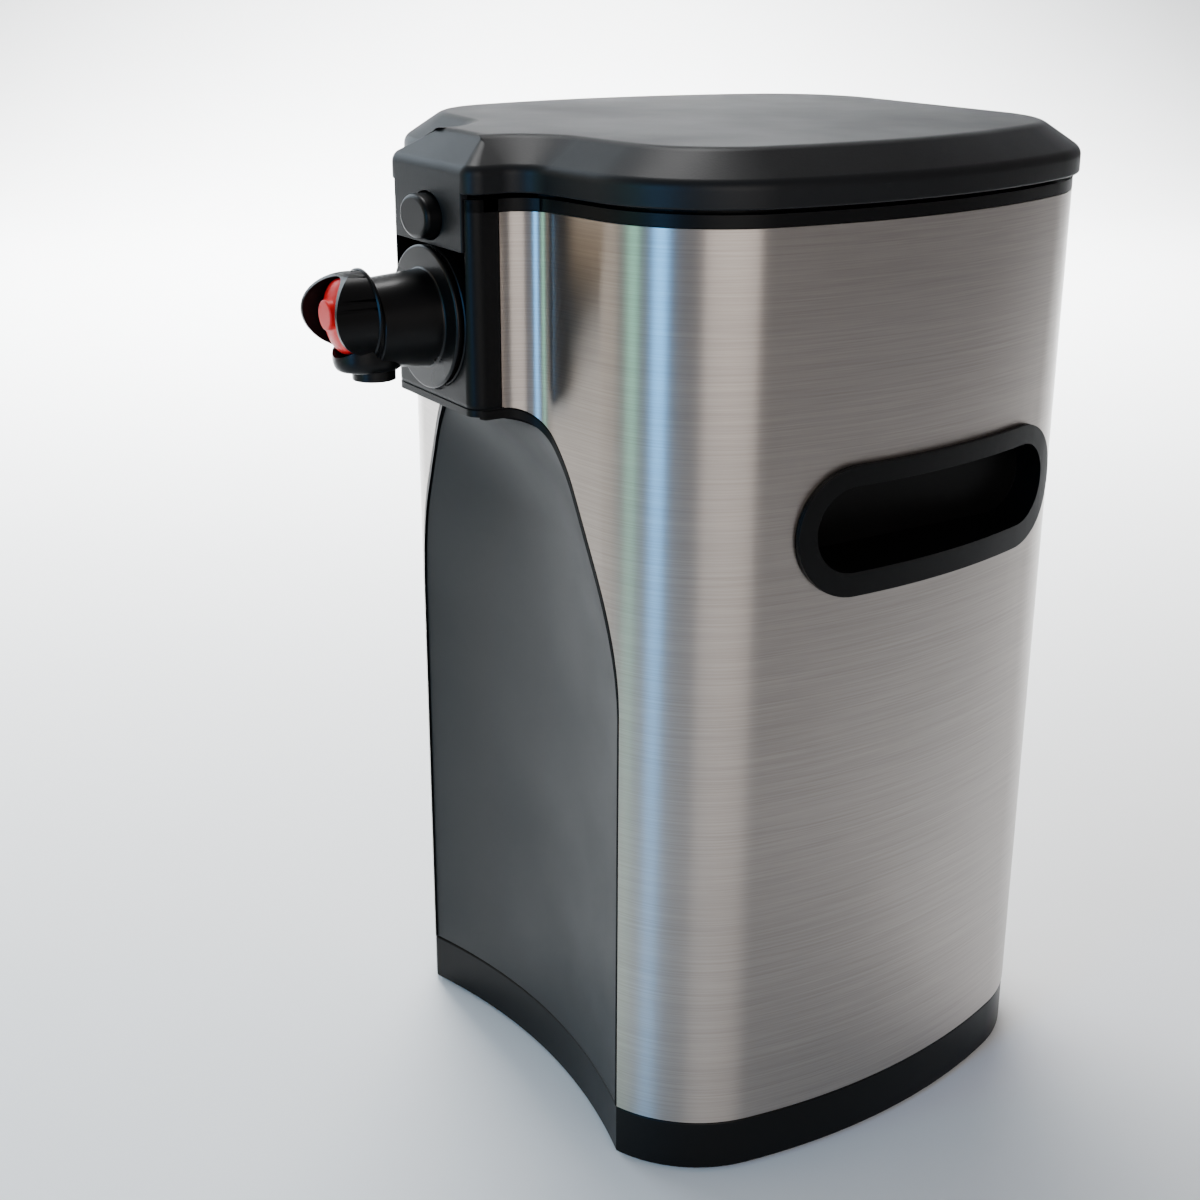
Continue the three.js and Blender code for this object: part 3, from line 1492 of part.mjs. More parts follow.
for (const [where, [x, y]] of Object.entries(lidScrewPlaces)) {
  place(lidGroup, `lid_screw_${where}`, standingScrew(x, y, lidLinerLow - gap, screw.reach), finishes.zinc());
}
place(lidGroup, "lid_button", lidButton(), finishes.black());
place(lidGroup, "latch_slider", latchSlider(), finishes.black());
place(lidGroup, "button_spring", buttonSpring(), finishes.springSteel());

// The origin lies on the floor, below the middle of the whole object.
const rearmost = hingeY + hinge.knuckleRadius;
const foremost = tap.headSideY - tap.headSideRadius;
machine.position.y = -(rearmost + foremost) / 2;

export default machine;
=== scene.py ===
import json
from math import atan2, cos, degrees, pi, radians, sin, sqrt, tan
from types import SimpleNamespace

import bpy
from mathutils import Matrix, Vector


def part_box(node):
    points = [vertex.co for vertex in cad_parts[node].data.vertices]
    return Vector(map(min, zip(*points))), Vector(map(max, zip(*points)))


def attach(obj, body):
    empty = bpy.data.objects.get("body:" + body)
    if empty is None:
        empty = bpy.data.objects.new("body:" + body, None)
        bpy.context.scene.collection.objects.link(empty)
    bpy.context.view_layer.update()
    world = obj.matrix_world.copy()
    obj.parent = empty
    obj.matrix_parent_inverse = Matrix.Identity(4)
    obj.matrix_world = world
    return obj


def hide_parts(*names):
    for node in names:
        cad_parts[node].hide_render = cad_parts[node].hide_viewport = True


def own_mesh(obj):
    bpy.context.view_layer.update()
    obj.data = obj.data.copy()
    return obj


bl_info = {
    "name": "Wine dispenser finish",
    "version": (1, 0, 0),
    "blender": (4, 5, 0),
    "location": "View3D > Sidebar > Dispenser",
    "description": "Smooth pieces, materials and a soft studio for the wine dispenser",
    "category": "Object",
}

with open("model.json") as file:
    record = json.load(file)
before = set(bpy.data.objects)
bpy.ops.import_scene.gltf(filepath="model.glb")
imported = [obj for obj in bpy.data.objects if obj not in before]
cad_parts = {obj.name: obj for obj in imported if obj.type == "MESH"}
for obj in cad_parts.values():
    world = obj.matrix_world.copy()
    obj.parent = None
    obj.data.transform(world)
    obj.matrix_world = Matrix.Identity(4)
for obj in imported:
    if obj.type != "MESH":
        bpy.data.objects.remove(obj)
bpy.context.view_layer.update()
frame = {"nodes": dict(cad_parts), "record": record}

# Places below are millimetres in the body's own plan, whose y starts near the flanks beside the nose.
MM = 0.001
BACK_Y = 187
PLAN_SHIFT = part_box("steel_wrap")[1].y / MM - BACK_Y


def at(x, y, z):
    """A point of the body's plan, given in millimetres, in the frame's metres."""
    return Vector((x, y + PLAN_SHIFT, z)) * MM


def along(axis, u, v, w):
    """The point at w on an axis, whose other two places are u and v."""
    places = {"x": (w, u, v), "y": (u, w, v), "z": (u, v, w)}
    return at(*places[axis])


def colour_of(code):
    """A hex sRGB colour as linear red, green and blue."""
    parts = [((code >> shift) & 255) / 255 for shift in (16, 8, 0)]
    return tuple(c / 12.92 if c <= 0.04045 else ((c + 0.055) / 1.055) ** 2.4 for c in parts)


# Property groups


def length(name, description, millimetres):
    return bpy.props.FloatProperty(
        name=name, description=description, default=millimetres * MM, min=0, unit="LENGTH"
    )


def colour(name, description, code):
    return bpy.props.FloatVectorProperty(
        name=name, description=description, default=colour_of(code), size=3, subtype="COLOR", min=0, max=1
    )


class BodySizes(bpy.types.PropertyGroup):
    """Sizes of the steel body and its front"""

    half_width: length("Half width", "Half the width over the steel", 100.1)
    side_radius: length("Side radius", "Radius of the bowed sides", 230.3)
    corner_radius: length("Front corner radius", "Radius of the front corners", 45.1)
    rear_radius: length("Rear corner radius", "Radius of the rear corners", 54.3)
    nose_half: length("Nose half width", "Half the width of the nose", 27)
    nose_corner: length("Nose corner radius", "Radius of the upright nose corners", 5)
    base_top: length("Base height", "Where the steel starts", 20)
    steel_top: length("Steel height", "Where the steel ends", 320)
    rim_top: length("Rim height", "Height of the black rim over the steel", 324)
    chin: length("Chin height", "Underside of the nose", 257.3)
    arch_half: length("Arch half width", "Half the width of the arch's foot", 67.5)
    arch_spring: length("Arch spring", "Where the arch starts to curve in", 165)
    handle_length: length("Handle length", "Length of a handle insert over its lip", 119.2)
    handle_height: length("Handle height", "Height of a handle insert over its lip", 42.4)


class LidSizes(bpy.types.PropertyGroup):
    """Sizes of the lid and its button"""

    bottom: length("Bottom", "The lid's lower edge", 325.5)
    shoulder: length("Shoulder", "Where the lid's slope starts", 332.9)
    top: length("Top", "The lid's flat top", 341.6)
    slope: length("Slope width", "Width of the lid's slope", 13.3)
    overhang: length("Overhang", "How far the lid stands out over the steel", 1.9)
    button_half: length("Button half width", "Half the width of the oval button", 9.6)
    button_rise: length("Button half height", "Half the height of the oval button", 6.9)


class TapSizes(bpy.types.PropertyGroup):
    """Sizes of the tap and its gland"""

    axis: length("Tap height", "Height of the tap's barrel axis", 285.2)
    head_axis: length("Head height", "Height of the hood's axis", 288.1)
    slot_radius: length("Slot radius", "Radius of the slot in the nose", 23.2)
    disc_radius: length("Disc radius", "Radius of the disc that covers the gland", 22.6)
    barrel_root: length("Barrel root radius", "Radius of the barrel at the disc", 15.2)
    barrel_front: length("Barrel front radius", "Radius of the barrel at its front", 13.8)
    head_radius: length("Head radius", "Radius of the hood round the cap", 13.7)
    cap_radius: length("Cap radius", "Radius of the red push cap", 11.6)


class FinishColours(bpy.types.PropertyGroup):
    """Base colours of the finishes"""

    steel: colour("Steel", "Brushed stainless steel", 0xA8A19B)
    black: colour("Black", "Black plastic of nose, base and handles", 0x070707)
    lid: colour("Lid", "Textured black plastic of the lid", 0x121314)
    panel: colour("Panel", "Dark grey plastic of the hollow front", 0x171818)
    inner: colour("Inside", "Light grey plastic of the platform", 0xC9CBCC)
    zinc: colour("Zinc", "Zinc plated steel of screws and rods", 0xA8ABAD)
    spring: colour("Spring", "Spring steel", 0x8D9092)
    rubber: colour("Rubber", "Rubber of the feet", 0x101010)
    nylon: colour("Nylon", "White nylon of bushes and drums", 0xE8E6DF)
    tap: colour("Tap", "Black polypropylene of the tap", 0x060606)
    red: colour("Red", "Red elastomer of the push cap", 0xE6060F)
    floor: colour("Floor", "Floor of the studio", 0xF4F6F7)


GROUPS = {
    "dispenser_body": BodySizes,
    "dispenser_lid": LidSizes,
    "dispenser_tap": TapSizes,
    "dispenser_colours": FinishColours,
}


def measured(name):
    """The sizes of a property group in millimetres."""
    group = getattr(bpy.context.scene, name)
    return SimpleNamespace(**{key: getattr(group, key) / MM for key in group.__annotations__})


# Mesh tools


def activate(obj):
    bpy.ops.object.select_all(action="DESELECT")
    obj.select_set(True)
    bpy.context.view_layer.objects.active = obj


def named(name):
    obj = bpy.context.object
    obj.name = name
    obj.data.name = name
    return obj


def merge():
    bpy.ops.mesh.remove_doubles(threshold=MM * 0.002)


def face_out():
    bpy.ops.mesh.select_all(action="SELECT")
    bpy.ops.mesh.normals_make_consistent(inside=False)


def fill_ends():
    bpy.ops.mesh.select_mode(type="EDGE")
    bpy.ops.mesh.select_all(action="DESELECT")
    bpy.ops.mesh.select_non_manifold()
    bpy.ops.mesh.fill_holes(sides=0)
    bpy.ops.mesh.select_mode(type="VERT")


def edit(obj, *steps):
    """Runs steps in edit mode, with all of the mesh selected first."""
    activate(obj)
    bpy.ops.object.mode_set(mode="EDIT")
    bpy.ops.mesh.select_all(action="SELECT")
    for step in steps:
        step()
    bpy.ops.object.mode_set(mode="OBJECT")


def prism(name, points, low, high, axis="z"):
    """A solid between two places on an axis, whose outline is (x, y) for z, (x, z) for y, (y, z) for x."""
    bpy.ops.object.select_all(action="DESELECT")
    bpy.ops.mesh.primitive_circle_add(vertices=len(points), radius=MM, fill_type="NGON")
    obj = named(name)
    for vertex, (u, v) in zip(obj.data.vertices, points):
        vertex.co = along(axis, u, v, low)
    move = along(axis, 0, 0, high) - along(axis, 0, 0, low)
    edit(obj, lambda: bpy.ops.mesh.extrude_region_move(TRANSFORM_OT_translate={"value": move}), face_out)
    return obj


def sheet(name, rows):
    """An open surface through rows of points in metres."""
    bpy.ops.object.select_all(action="DESELECT")
    columns = len(rows[0]) - 1
    bpy.ops.mesh.primitive_grid_add(x_subdivisions=columns, y_subdivisions=len(rows) - 1, size=MM)
    obj = named(name)
    for vertex, point in zip(obj.data.vertices, [point for row in rows for point in row]):
        vertex.co = point
    return obj


def skin(name, rows):
    """A solid through rows of points in metres, each of which closes on itself."""
    obj = sheet(name, [[*row, row[0]] for row in rows])
    edit(obj, merge, fill_ends, face_out)
    return obj


def loft(name, layers):
    """A solid through outlines of equal length, each given with its height."""
    return skin(name, [[at(x, y, z) for x, y in points] for points, z in layers])


def lathe(name, profile, x, z, count=96):
    """A body turned about an axis along y, from (radius, y) pairs that close on themselves or end on it."""
    return skin(name, [[along("y", a, b, y) for a, b in oval(x, z, r, r, count)] for r, y in profile])


def bar(name, radius, low, high, axis, u, v, count=96):
    """A round bar along an axis through (u, v)."""
    ring = oval(u, v, radius, radius, count)
    return skin(name, [[along(axis, a, b, place) for a, b in ring] for place in (low, high)])


def block(name, x0, x1, y0, y1, z0, z1):
    """A box, from its least to its greatest x, y and z."""
    return prism(name, [(x0, y0), (x1, y0), (x1, y1), (x0, y1)], z0, z1)


def tube(name, points, radius, count=10):
    """A round wire along points in metres."""
    rows = []
    for i, point in enumerate(points):
        ahead = points[min(i + 1, len(points) - 1)] - points[max(i - 1, 0)]
        side = ahead.cross(Vector((0, 1, 0))).normalized()
        up = side.cross(ahead).normalized()
        rows.append([point + (side * a + up * b) * MM for a, b in oval(0, 0, radius, radius, count)])
    return skin(name, rows)


def apply_modifier(obj, kind, **settings):
    activate(obj)
    modifier = obj.modifiers.new(kind.title(), kind)
    for key, value in settings.items():
        setattr(modifier, key, value)
    bpy.ops.object.modifier_apply(modifier=modifier.name)
    return obj


def combine(obj, others, operation):
    for other in others:
        apply_modifier(obj, "BOOLEAN", operation=operation, solver="EXACT", object=other)
        bpy.data.objects.remove(other, do_unlink=True)
    return obj


def cut(obj, *others):
    return combine(obj, others, "DIFFERENCE")


def join(obj, *others):
    return combine(obj, others, "UNION")


def common(obj, *others):
    return combine(obj, others, "INTERSECT")


def soften(obj, width, segments=3, angle=40):
    """Rounds every edge sharper than an angle."""
    edit(obj, merge)
    return apply_modifier(
        obj, "BEVEL", width=width * MM, segments=segments, limit_method="ANGLE",
        angle_limit=radians(angle), use_clamp_overlap=True, miter_outer="MITER_ARC",
    )


def smooth(obj, angle=32):
    activate(obj)
    bpy.ops.object.shade_smooth_by_angle(angle=radians(angle))
    return apply_modifier(obj, "WEIGHTED_NORMAL", keep_sharp=True, weight=100)


def mirrored(obj):
    """A copy with its own mesh on the other side of the middle plane."""
    twin = obj.copy()
    twin.data = obj.data.copy()
    bpy.context.collection.objects.link(twin)
    twin.data.transform(Matrix.Scale(-1, 4, (1, 0, 0)))
    edit(twin, face_out)
    return twin


def fit(obj, name, body, slot, *nodes):
    """Names a finished piece, gives it its body and its finish, and hides the nodes that it stands for."""
    obj.name = name
    obj.data.name = name
    obj.data.materials.clear()
    obj.data.materials.append(finishes[slot])
    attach(obj, body)
    if nodes:
        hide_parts(*nodes)
    return obj


# Plan of the body


def arc(cx, cy, radius, start, end, count, radius_v=None):
    """Points on an arc about a centre, by angle in degrees."""
    other = radius if radius_v is None else radius_v
    angles = [radians(start + (end - start) * i / count) for i in range(count + 1)]
    return [(cx + radius * cos(a), cy + other * sin(a)) for a in angles]


def oval(u, v, half_width, half_height, count=64):
    return arc(u, v, half_width, 0, 360, count, half_height)[1:]


def mirror_path(points):
    return [(-x, y) for x, y in reversed(points)]


def obround(u, v, span, height, count=32):
    radius = height / 2
    half = span / 2 - radius
    return arc(u + half, v, radius, -90, 90, count) + arc(u - half, v, radius, 90, 270, count)


def rounded(x0, x1, y0, y1, radius, count=16):
    left, right, low, high = x0 + radius, x1 - radius, y0 + radius, y1 - radius
    centres = ((right, low), (right, high), (left, high), (left, low))
    return [p for i, c in enumerate(centres) for p in arc(*c, radius, 90 * i - 90, 90 * i, count)]


GAP = 0.3
OVERRUN = 5
WIDEST_Y = 73
NOSE_Y = -31
TIGHTEST_CORNER = 1.5
VALLEY_RADIUS = 12
FLANK = (46.4, -6.95)
FLANK_TILT = radians(8)
FLANK_NORMAL = (sin(FLANK_TILT), -cos(FLANK_TILT))
FLANK_ALONG = (cos(FLANK_TILT), sin(FLANK_TILT))
STEEL_SHEET = 0.8
NOSE_EDGE_Y = -20.8
LINER_HALF = 74
LINER_FRONT = 12.6
LINER_BACK = 162
SCREW_HOLE = 1.9


def side_centre(body):
    return body.half_width - body.side_radius, WIDEST_Y


def corner_centre(body):
    """Centre of the circle that touches the flank and the side arc from inside."""
    r = body.corner_radius
    cx, cy = side_centre(body)
    start = [f - r * n for f, n in zip(FLANK, FLANK_NORMAL)]
    dx, dy = start[0] - cx, start[1] - cy
    run = dx * FLANK_ALONG[0] + dy * FLANK_ALONG[1]
    rest = dx ** 2 + dy ** 2 - (body.side_radius - r) ** 2
    s = -run + sqrt(run ** 2 - rest)
    return start[0] + s * FLANK_ALONG[0], start[1] + s * FLANK_ALONG[1]


def rear_centre(body):
    cx, cy = side_centre(body)
    y = BACK_Y - body.rear_radius
    reach = body.side_radius - body.rear_radius
    return cx + sqrt(reach ** 2 - (y - cy) ** 2), y


def angle_to(start, end):
    return degrees(atan2(end[1] - start[1], end[0] - start[0]))


def flank_line(x):
    return FLANK[1] + (x - FLANK[0]) * FLANK_ALONG[1] / FLANK_ALONG[0]


def flank_depth(x):
    """Depth of the flank at a half width beside the nose."""
    body = measured("dispenser_body")
    cx, cy = corner_centre(body)
    if x > cx + body.corner_radius * FLANK_NORMAL[0]:
        return cy - sqrt(body.corner_radius ** 2 - (x - cx) ** 2)
    return flank_line(x)


def outline(spread, nose_spread=None):
    """Plan of the body, moved outwards by spread, and at the nose by another amount."""
    body = measured("dispenser_body")
    nose = spread if nose_spread is None else nose_spread
    side, corner, rear = side_centre(body), corner_centre(body), rear_centre(body)
    half = body.nose_half + nose
    nose_radius = max(TIGHTEST_CORNER, body.nose_corner + nose)
    valley_x = body.nose_half + VALLEY_RADIUS
    valley_y = flank_line(valley_x) - VALLEY_RADIUS / FLANK_ALONG[0]
    flank_angle = angle_to((0, 0), FLANK_NORMAL)
    to_corner, to_rear = angle_to(side, corner), angle_to(side, rear)
    right = [
        *arc(half - nose_radius, NOSE_Y - nose + nose_radius, nose_radius, -90, 0, 8),
        *arc(valley_x, valley_y, valley_x - half, 180, flank_angle + 180, 14, VALLEY_RADIUS - spread),
        *arc(*corner, body.corner_radius + spread, flank_angle, to_corner, 28),
        *arc(*side, body.side_radius + spread, to_corner, to_rear, 20)[1:],
        *arc(*rear, body.rear_radius + spread, to_rear, 90, 26)[1:],
    ]
    return right + mirror_path(right)


def body_prism(spread, low, high):
    return prism("plan", outline(spread), low, high)


def body_ring(inner, outer, low, high):
    return cut(body_prism(outer, low, high), body_prism(inner, low - OVERRUN, high + OVERRUN))


# Arch and hollow of the front
# The curves of the arch are shares of its run to the nose.
ARCH_LOW_SHARE = 2.8642
ARCH_LOW_TURN = 24.3
ARCH_STRAIGHT_SHARE = 0.6296
ARCH_TOP_SHARE = 1.4321
ARCH_TOP_TURN = 28
ARCH_FALL = tan(radians(90 - ARCH_LOW_TURN - ARCH_TOP_TURN))
ARCH_LAP = 8
TRIM_SIDE = 0.7
TRIM_DROP = 2.7
BASE_HOLLOW = 10.4


def arch_side(side, drop):
    """Right edge of the arch from the bottom up as (x, z), drawn in by side and lowered by drop."""
    body = measured("dispenser_body")
    run = body.arch_half - body.nose_half
    half = body.arch_half - side
    radius, top_radius = ARCH_LOW_SHARE * run, ARCH_TOP_SHARE * run
    low = arc(half - radius, body.arch_spring - drop, radius, 0, ARCH_LOW_TURN, 24)
    lean = radians(ARCH_LOW_TURN)
    x = low[-1][0] - ARCH_STRAIGHT_SHARE * run * sin(lean)
    z = low[-1][1] + ARCH_STRAIGHT_SHARE * run * cos(lean)
    top = arc(
        x - top_radius * cos(lean), z - top_radius * sin(lean), top_radius, ARCH_LOW_TURN,
        ARCH_LOW_TURN + ARCH_TOP_TURN, 20,
    )
    return [(half, body.base_top - OVERRUN), *low, *top]


def arch_prism(side, drop, low, high):
    body = measured("dispenser_body")
    points = arch_side(side, drop)
    x, z = points[-1]
    nose = body.nose_half - side
    rise = z + (x - nose) * ARCH_FALL
    half = [*points, (nose, rise), (nose, max(rise, body.chin) + GAP)]
    return prism("arch", half + mirror_path(half), low, high, "y")


def nose_cutter(inset, low, high, count=28):
    """All that lies before the hollow curve of the base's front."""
    half = measured("dispenser_body").arch_half
    shares = [i / count - 1 for i in range(2 * count + 1)]
    hollow = [(half * s, flank_depth(half) + inset + BASE_HOLLOW * (1 - s * s)) for s in shares]
    ahead = NOSE_Y - OVERRUN
    return prism("hollow", [*hollow, (half, ahead), (-half, ahead)], low, high)


# Materials


def add(tree, kind, inputs=None, **settings):
    """Adds a node with its settings. An input is a value, or the output socket that feeds it."""
    node = tree.nodes.new(kind)
    for key, value in settings.items():
        setattr(node, key, value)
    for key, value in (inputs or {}).items():
        if isinstance(value, bpy.types.NodeSocket):
            tree.links.new(value, node.inputs[key])
        else:
            node.inputs[key].default_value = value
    return node


def material(name):
    made = bpy.data.materials.new(name)
    made.use_nodes = True
    made.node_tree.nodes.clear()
    return made, made.node_tree


def finish_with(tree, inputs):
    """Ends a material in its shader."""
    shader = add(tree, "ShaderNodeBsdfPrincipled", inputs)
    add(tree, "ShaderNodeOutputMaterial", {"Surface": shader.outputs["BSDF"]})


def shade(base, share):
    return (*[min(1, c * share) for c in base], 1)


def grains(tree, size, stretch=(1, 1, 1), detail=3.0):
    """A pattern of grains as long as size in millimetres, drawn shorter by stretch along x, y and z."""
    place = add(tree, "ShaderNodeTexCoord")
    scale = tuple(s / (size * MM) for s in stretch)
    mapping = add(tree, "ShaderNodeMapping", {"Vector": place.outputs["Object"], "Scale": scale})
    looks = {"Vector": mapping.outputs["Vector"], "Scale": 1.0, "Detail": detail}
    return add(tree, "ShaderNodeTexNoise", looks).outputs["Fac"]


def tinted(tree, pattern, base, dark, light, start=0.3, end=0.7):
    """A base colour that swings between a darker and a lighter shade along a pattern."""
    swing = add(tree, "ShaderNodeMapRange", {"Value": pattern, "From Min": start, "From Max": end})
    shades = {0: swing.outputs["Result"], 6: shade(base, dark), 7: shade(base, light)}
    return add(tree, "ShaderNodeMix", shades, data_type="RGBA").outputs[2]


def brushed_steel(base):
    # Stainless sheet, brushed level all round: fine scratches that draw reflections out upright.
    # The real scratches are under 0.1 mm high, too fine to show, so they are drawn about 0.4 mm high.
    made, tree = material("brushed stainless steel")
    hair = grains(tree, 38, (1, 1, 90), 4)
    fine = grains(tree, 14, (1, 1, 55), 2)
    cloud = grains(tree, 60, (1, 1, 0.6), 2)
    gloss = add(tree, "ShaderNodeMapRange", {"Value": cloud, "To Min": 0.26, "To Max": 0.34})
    tangent = add(tree, "ShaderNodeTangent", direction_type="RADIAL", axis="Z")
    scratches = add(tree, "ShaderNodeBump", {"Height": fine, "Distance": 0.006 * MM})
    lines = add(tree, "ShaderNodeBump", {
        "Height": hair, "Distance": 0.012 * MM, "Normal": scratches.outputs["Normal"],
    })
    finish_with(tree, {
        "Base Color": tinted(tree, hair, base, 0.86, 1.08),
        "Metallic": 1.0,
        "Roughness": gloss.outputs["Result"],
        "Anisotropic": 0.9,
        "Anisotropic Rotation": 0.25,
        "Tangent": tangent.outputs["Tangent"],
        "Normal": lines.outputs["Normal"],
    })
    return made


def moulded(name, base, roughness, grain, depth, gloss=0.5):
    # Moulded plastic: an even skin with the spark eroded grain of the mould and faint handling marks.
    # The real grain is about 0.2 mm wide, too fine to show, so it is drawn coarser.
    made, tree = material(name)
    cloud = grains(tree, 45, detail=4)
    sheen = add(tree, "ShaderNodeMapRange", {
        "Value": cloud,
        "From Min": 0.25,
        "From Max": 0.75,
        "To Min": roughness - 0.05,
        "To Max": roughness + 0.06,
    })
    skin_grain = add(tree, "ShaderNodeBump", {
        "Height": grains(tree, grain, detail=2), "Distance": depth * MM,
    })
    finish_with(tree, {
        "Base Color": tinted(tree, cloud, base, 0.9, 1.12),
        "Roughness": sheen.outputs["Result"],
        "IOR": 1.5,
        "Specular IOR Level": gloss,
        "Normal": skin_grain.outputs["Normal"],
    })
    return made


def drawn_metal(name, base, roughness):
    # Plated or rolled metal: faint drawing marks along its length.
    made, tree = material(name)
    marks = grains(tree, 6, (1, 1, 0.2))
    gloss = add(tree, "ShaderNodeMapRange", {
        "Value": marks, "To Min": roughness - 0.08, "To Max": roughness + 0.1,
    })
    drawn = add(tree, "ShaderNodeBump", {"Height": marks, "Distance": 0.008 * MM})
    finish_with(tree, {
        "Base Color": tinted(tree, marks, base, 0.85, 1.1),
        "Metallic": 1.0,
        "Roughness": gloss.outputs["Result"],
        "Normal": drawn.outputs["Normal"],
    })
    return made


def make_finishes(colours):
    """The finish of each slot. A moulding's numbers are its roughness, grain, grain depth and gloss."""
    return {
        "steel": brushed_steel(colours.steel),
        # Finely blasted mould: a satin skin for the nose, the base and the handles.
        "black": moulded("satin black ABS", colours.black, 0.38, 0.8, 0.006, 0.13),
        # Deeper mould texture, which breaks up the highlights on the lid.
        "lid_black": moulded("textured black ABS", colours.lid, 0.45, 0.7, 0.02, 0.19),
        # Matt mould: the hollow front shows only a soft sheen.
        "panel_grey": moulded("matt dark grey ABS", colours.panel, 0.44, 0.7, 0.012, 0.24),
        # Plain mould of an inside piece: dull and pale.
        "inner_grey": moulded("light grey ABS", colours.inner, 0.55, 1.2, 0.015),
        # Pressed rubber: hardly any gloss.
        "rubber": moulded("black rubber", colours.rubber, 0.8, 0.6, 0.03),
        # Injected nylon: milky, with a slight sheen.
        "nylon": moulded("white nylon", colours.nylon, 0.5, 1.0, 0.01),
        # Polished mould: the tap is glossier than the body.
        "tap_black": moulded("black polypropylene", colours.tap, 0.3, 1.5, 0.005, 0.2),
        # Soft elastomer over the push cap: strong colour, mild gloss.
        "tap_red": moulded("red elastomer", colours.red, 0.4, 1.2, 0.008, 0.3),
        # Bright zinc of screws, rods and pins.
        "zinc": drawn_metal("zinc plated steel", colours.zinc, 0.35),
        # Rolled spring strip: darker, with a blue grey shine.
        "spring_steel": drawn_metal("spring steel", colours.spring, 0.3),
    }


finishes = {}


# Operators


class DISPENSER_OT_finishes(bpy.types.Operator):
    """Makes every finish and gives it to the solids of its slot"""

    bl_idname = "dispenser.finishes"
    bl_label = "Finishes"

    def execute(self, context):
        finishes.update(make_finishes(context.scene.dispenser_colours))
        for part in frame["record"]["subparts"]:
            mesh = frame["nodes"][part["node"]].data
            mesh.materials.clear()
            mesh.materials.append(finishes[part["material_slot"]])
        return {"FINISHED"}


FOOT_PLACES = {
    "front_left": (-58, 22),
    "front_right": (58, 22),
    "rear_left": (-52, 160),
    "rear_right": (52, 160),
}
BASE_SCREW_PLACES = ((-50, 34), (50, 34), (-50, 146), (50, 146))
FOOT_RADIUS = 8
FOOT_THICKNESS = 2.7
FOOT_PAD = 9.5
FOOT_SOFT = 0.6
SKIRT_BOTTOM = 1.5
SKIRT_SOFT = 0.9
BASE_WALL = 3
BASE_INSET = 0.2


class DISPENSER_OT_base(bpy.types.Operator):
    """Models the moulded base with its hollow front and its rubber feet"""

    bl_idname = "dispenser.base"
    bl_label = "Base and feet"

    def execute(self, context):
        body = measured("dispenser_body")
        under = body.base_top - BASE_WALL
        tray = cut(
            body_prism(-BASE_INSET, SKIRT_BOTTOM, body.base_top),
            nose_cutter(0, SKIRT_BOTTOM - OVERRUN, body.base_top + OVERRUN),
        )
        soften(tray, SKIRT_SOFT)
        cavity = cut(
            body_prism(-BASE_INSET - BASE_WALL, SKIRT_BOTTOM - OVERRUN, under),
            nose_cutter(BASE_WALL, SKIRT_BOTTOM - 2 * OVERRUN, under + OVERRUN),
        )
        cut(tray, cavity)
        for x, y in FOOT_PLACES.values():
            join(tray, bar("pad", FOOT_PAD, FOOT_THICKNESS + GAP, under + GAP, "z", x, y, 48))
        for x, y in BASE_SCREW_PLACES:
            cut(tray, bar("hole", SCREW_HOLE, under - OVERRUN, body.base_top + OVERRUN, "z", x, y, 24))
        fit(smooth(tray), "base_moulding", "housing", "black", "base_tray")
        for where, (x, y) in FOOT_PLACES.items():
            foot = soften(bar("foot", FOOT_RADIUS, 0, FOOT_THICKNESS, "z", x, y, 64), FOOT_SOFT)
            fit(smooth(foot), f"rubber_foot_{where}", "housing", "rubber", f"foot_{where}")
        return {"FINISHED"}


HINGE_SCREW_X = 19
HINGE_SCREW_Z = 311
HANDLE_CUT_INSET = 3


def hinge_screw_holes():
    low, high = BACK_Y - OVERRUN, BACK_Y + OVERRUN
    places = (-HINGE_SCREW_X, HINGE_SCREW_X)
    return [bar("hole", SCREW_HOLE, low, high, "y", x, HINGE_SCREW_Z, 24) for x in places]


class DISPENSER_OT_steel(bpy.types.Operator):
    """Models the steel wrap, cut for the arch, the nose and the handles"""

    bl_idname = "dispenser.steel"
    bl_label = "Steel wrap"

    def execute(self, context):
        body = measured("dispenser_body")
        sheet = body_ring(-STEEL_SHEET, 0, body.base_top + GAP, body.steel_top)
        ahead = NOSE_Y - OVERRUN
        half = body.nose_half + OVERRUN
        far = body.half_width + OVERRUN
        cut(
            sheet,
            arch_prism(0, 0, ahead, LINER_FRONT),
            block("nose", -half, half, ahead, NOSE_EDGE_Y, body.chin, body.steel_top + OVERRUN),
            prism("handle", handle_outline(HANDLE_CUT_INSET), -far, far, "x"),
            *hinge_screw_holes(),
        )
        fit(smooth(sheet, 25), "steel_sheet", "housing", "steel", "steel_wrap")
        return {"FINISHED"}


BEZEL_WALL = 2.3
BEZEL_BACK = 12
BEZEL_SIDE_TOP = 317.2
CHIN_FLOOR = 2.6
CHIN_ROUND = 4.2
RIM_JOINT_Y = -10
CRADLE_FRONT = -27.7
CRADLE_BACK = -25.3
CRADLE_TOP = 300
GLAND_NECK = 16.8


def u_slot(radius, low, high):
    """A slot along y, round below the tap's axis and open upwards."""
    axis = measured("dispenser_tap").axis
    top = measured("dispenser_body").rim_top + OVERRUN
    points = [*arc(0, axis, radius, 180, 360, 64), (radius, top), (-radius, top)]
    return prism("slot", points, low, high, "y")


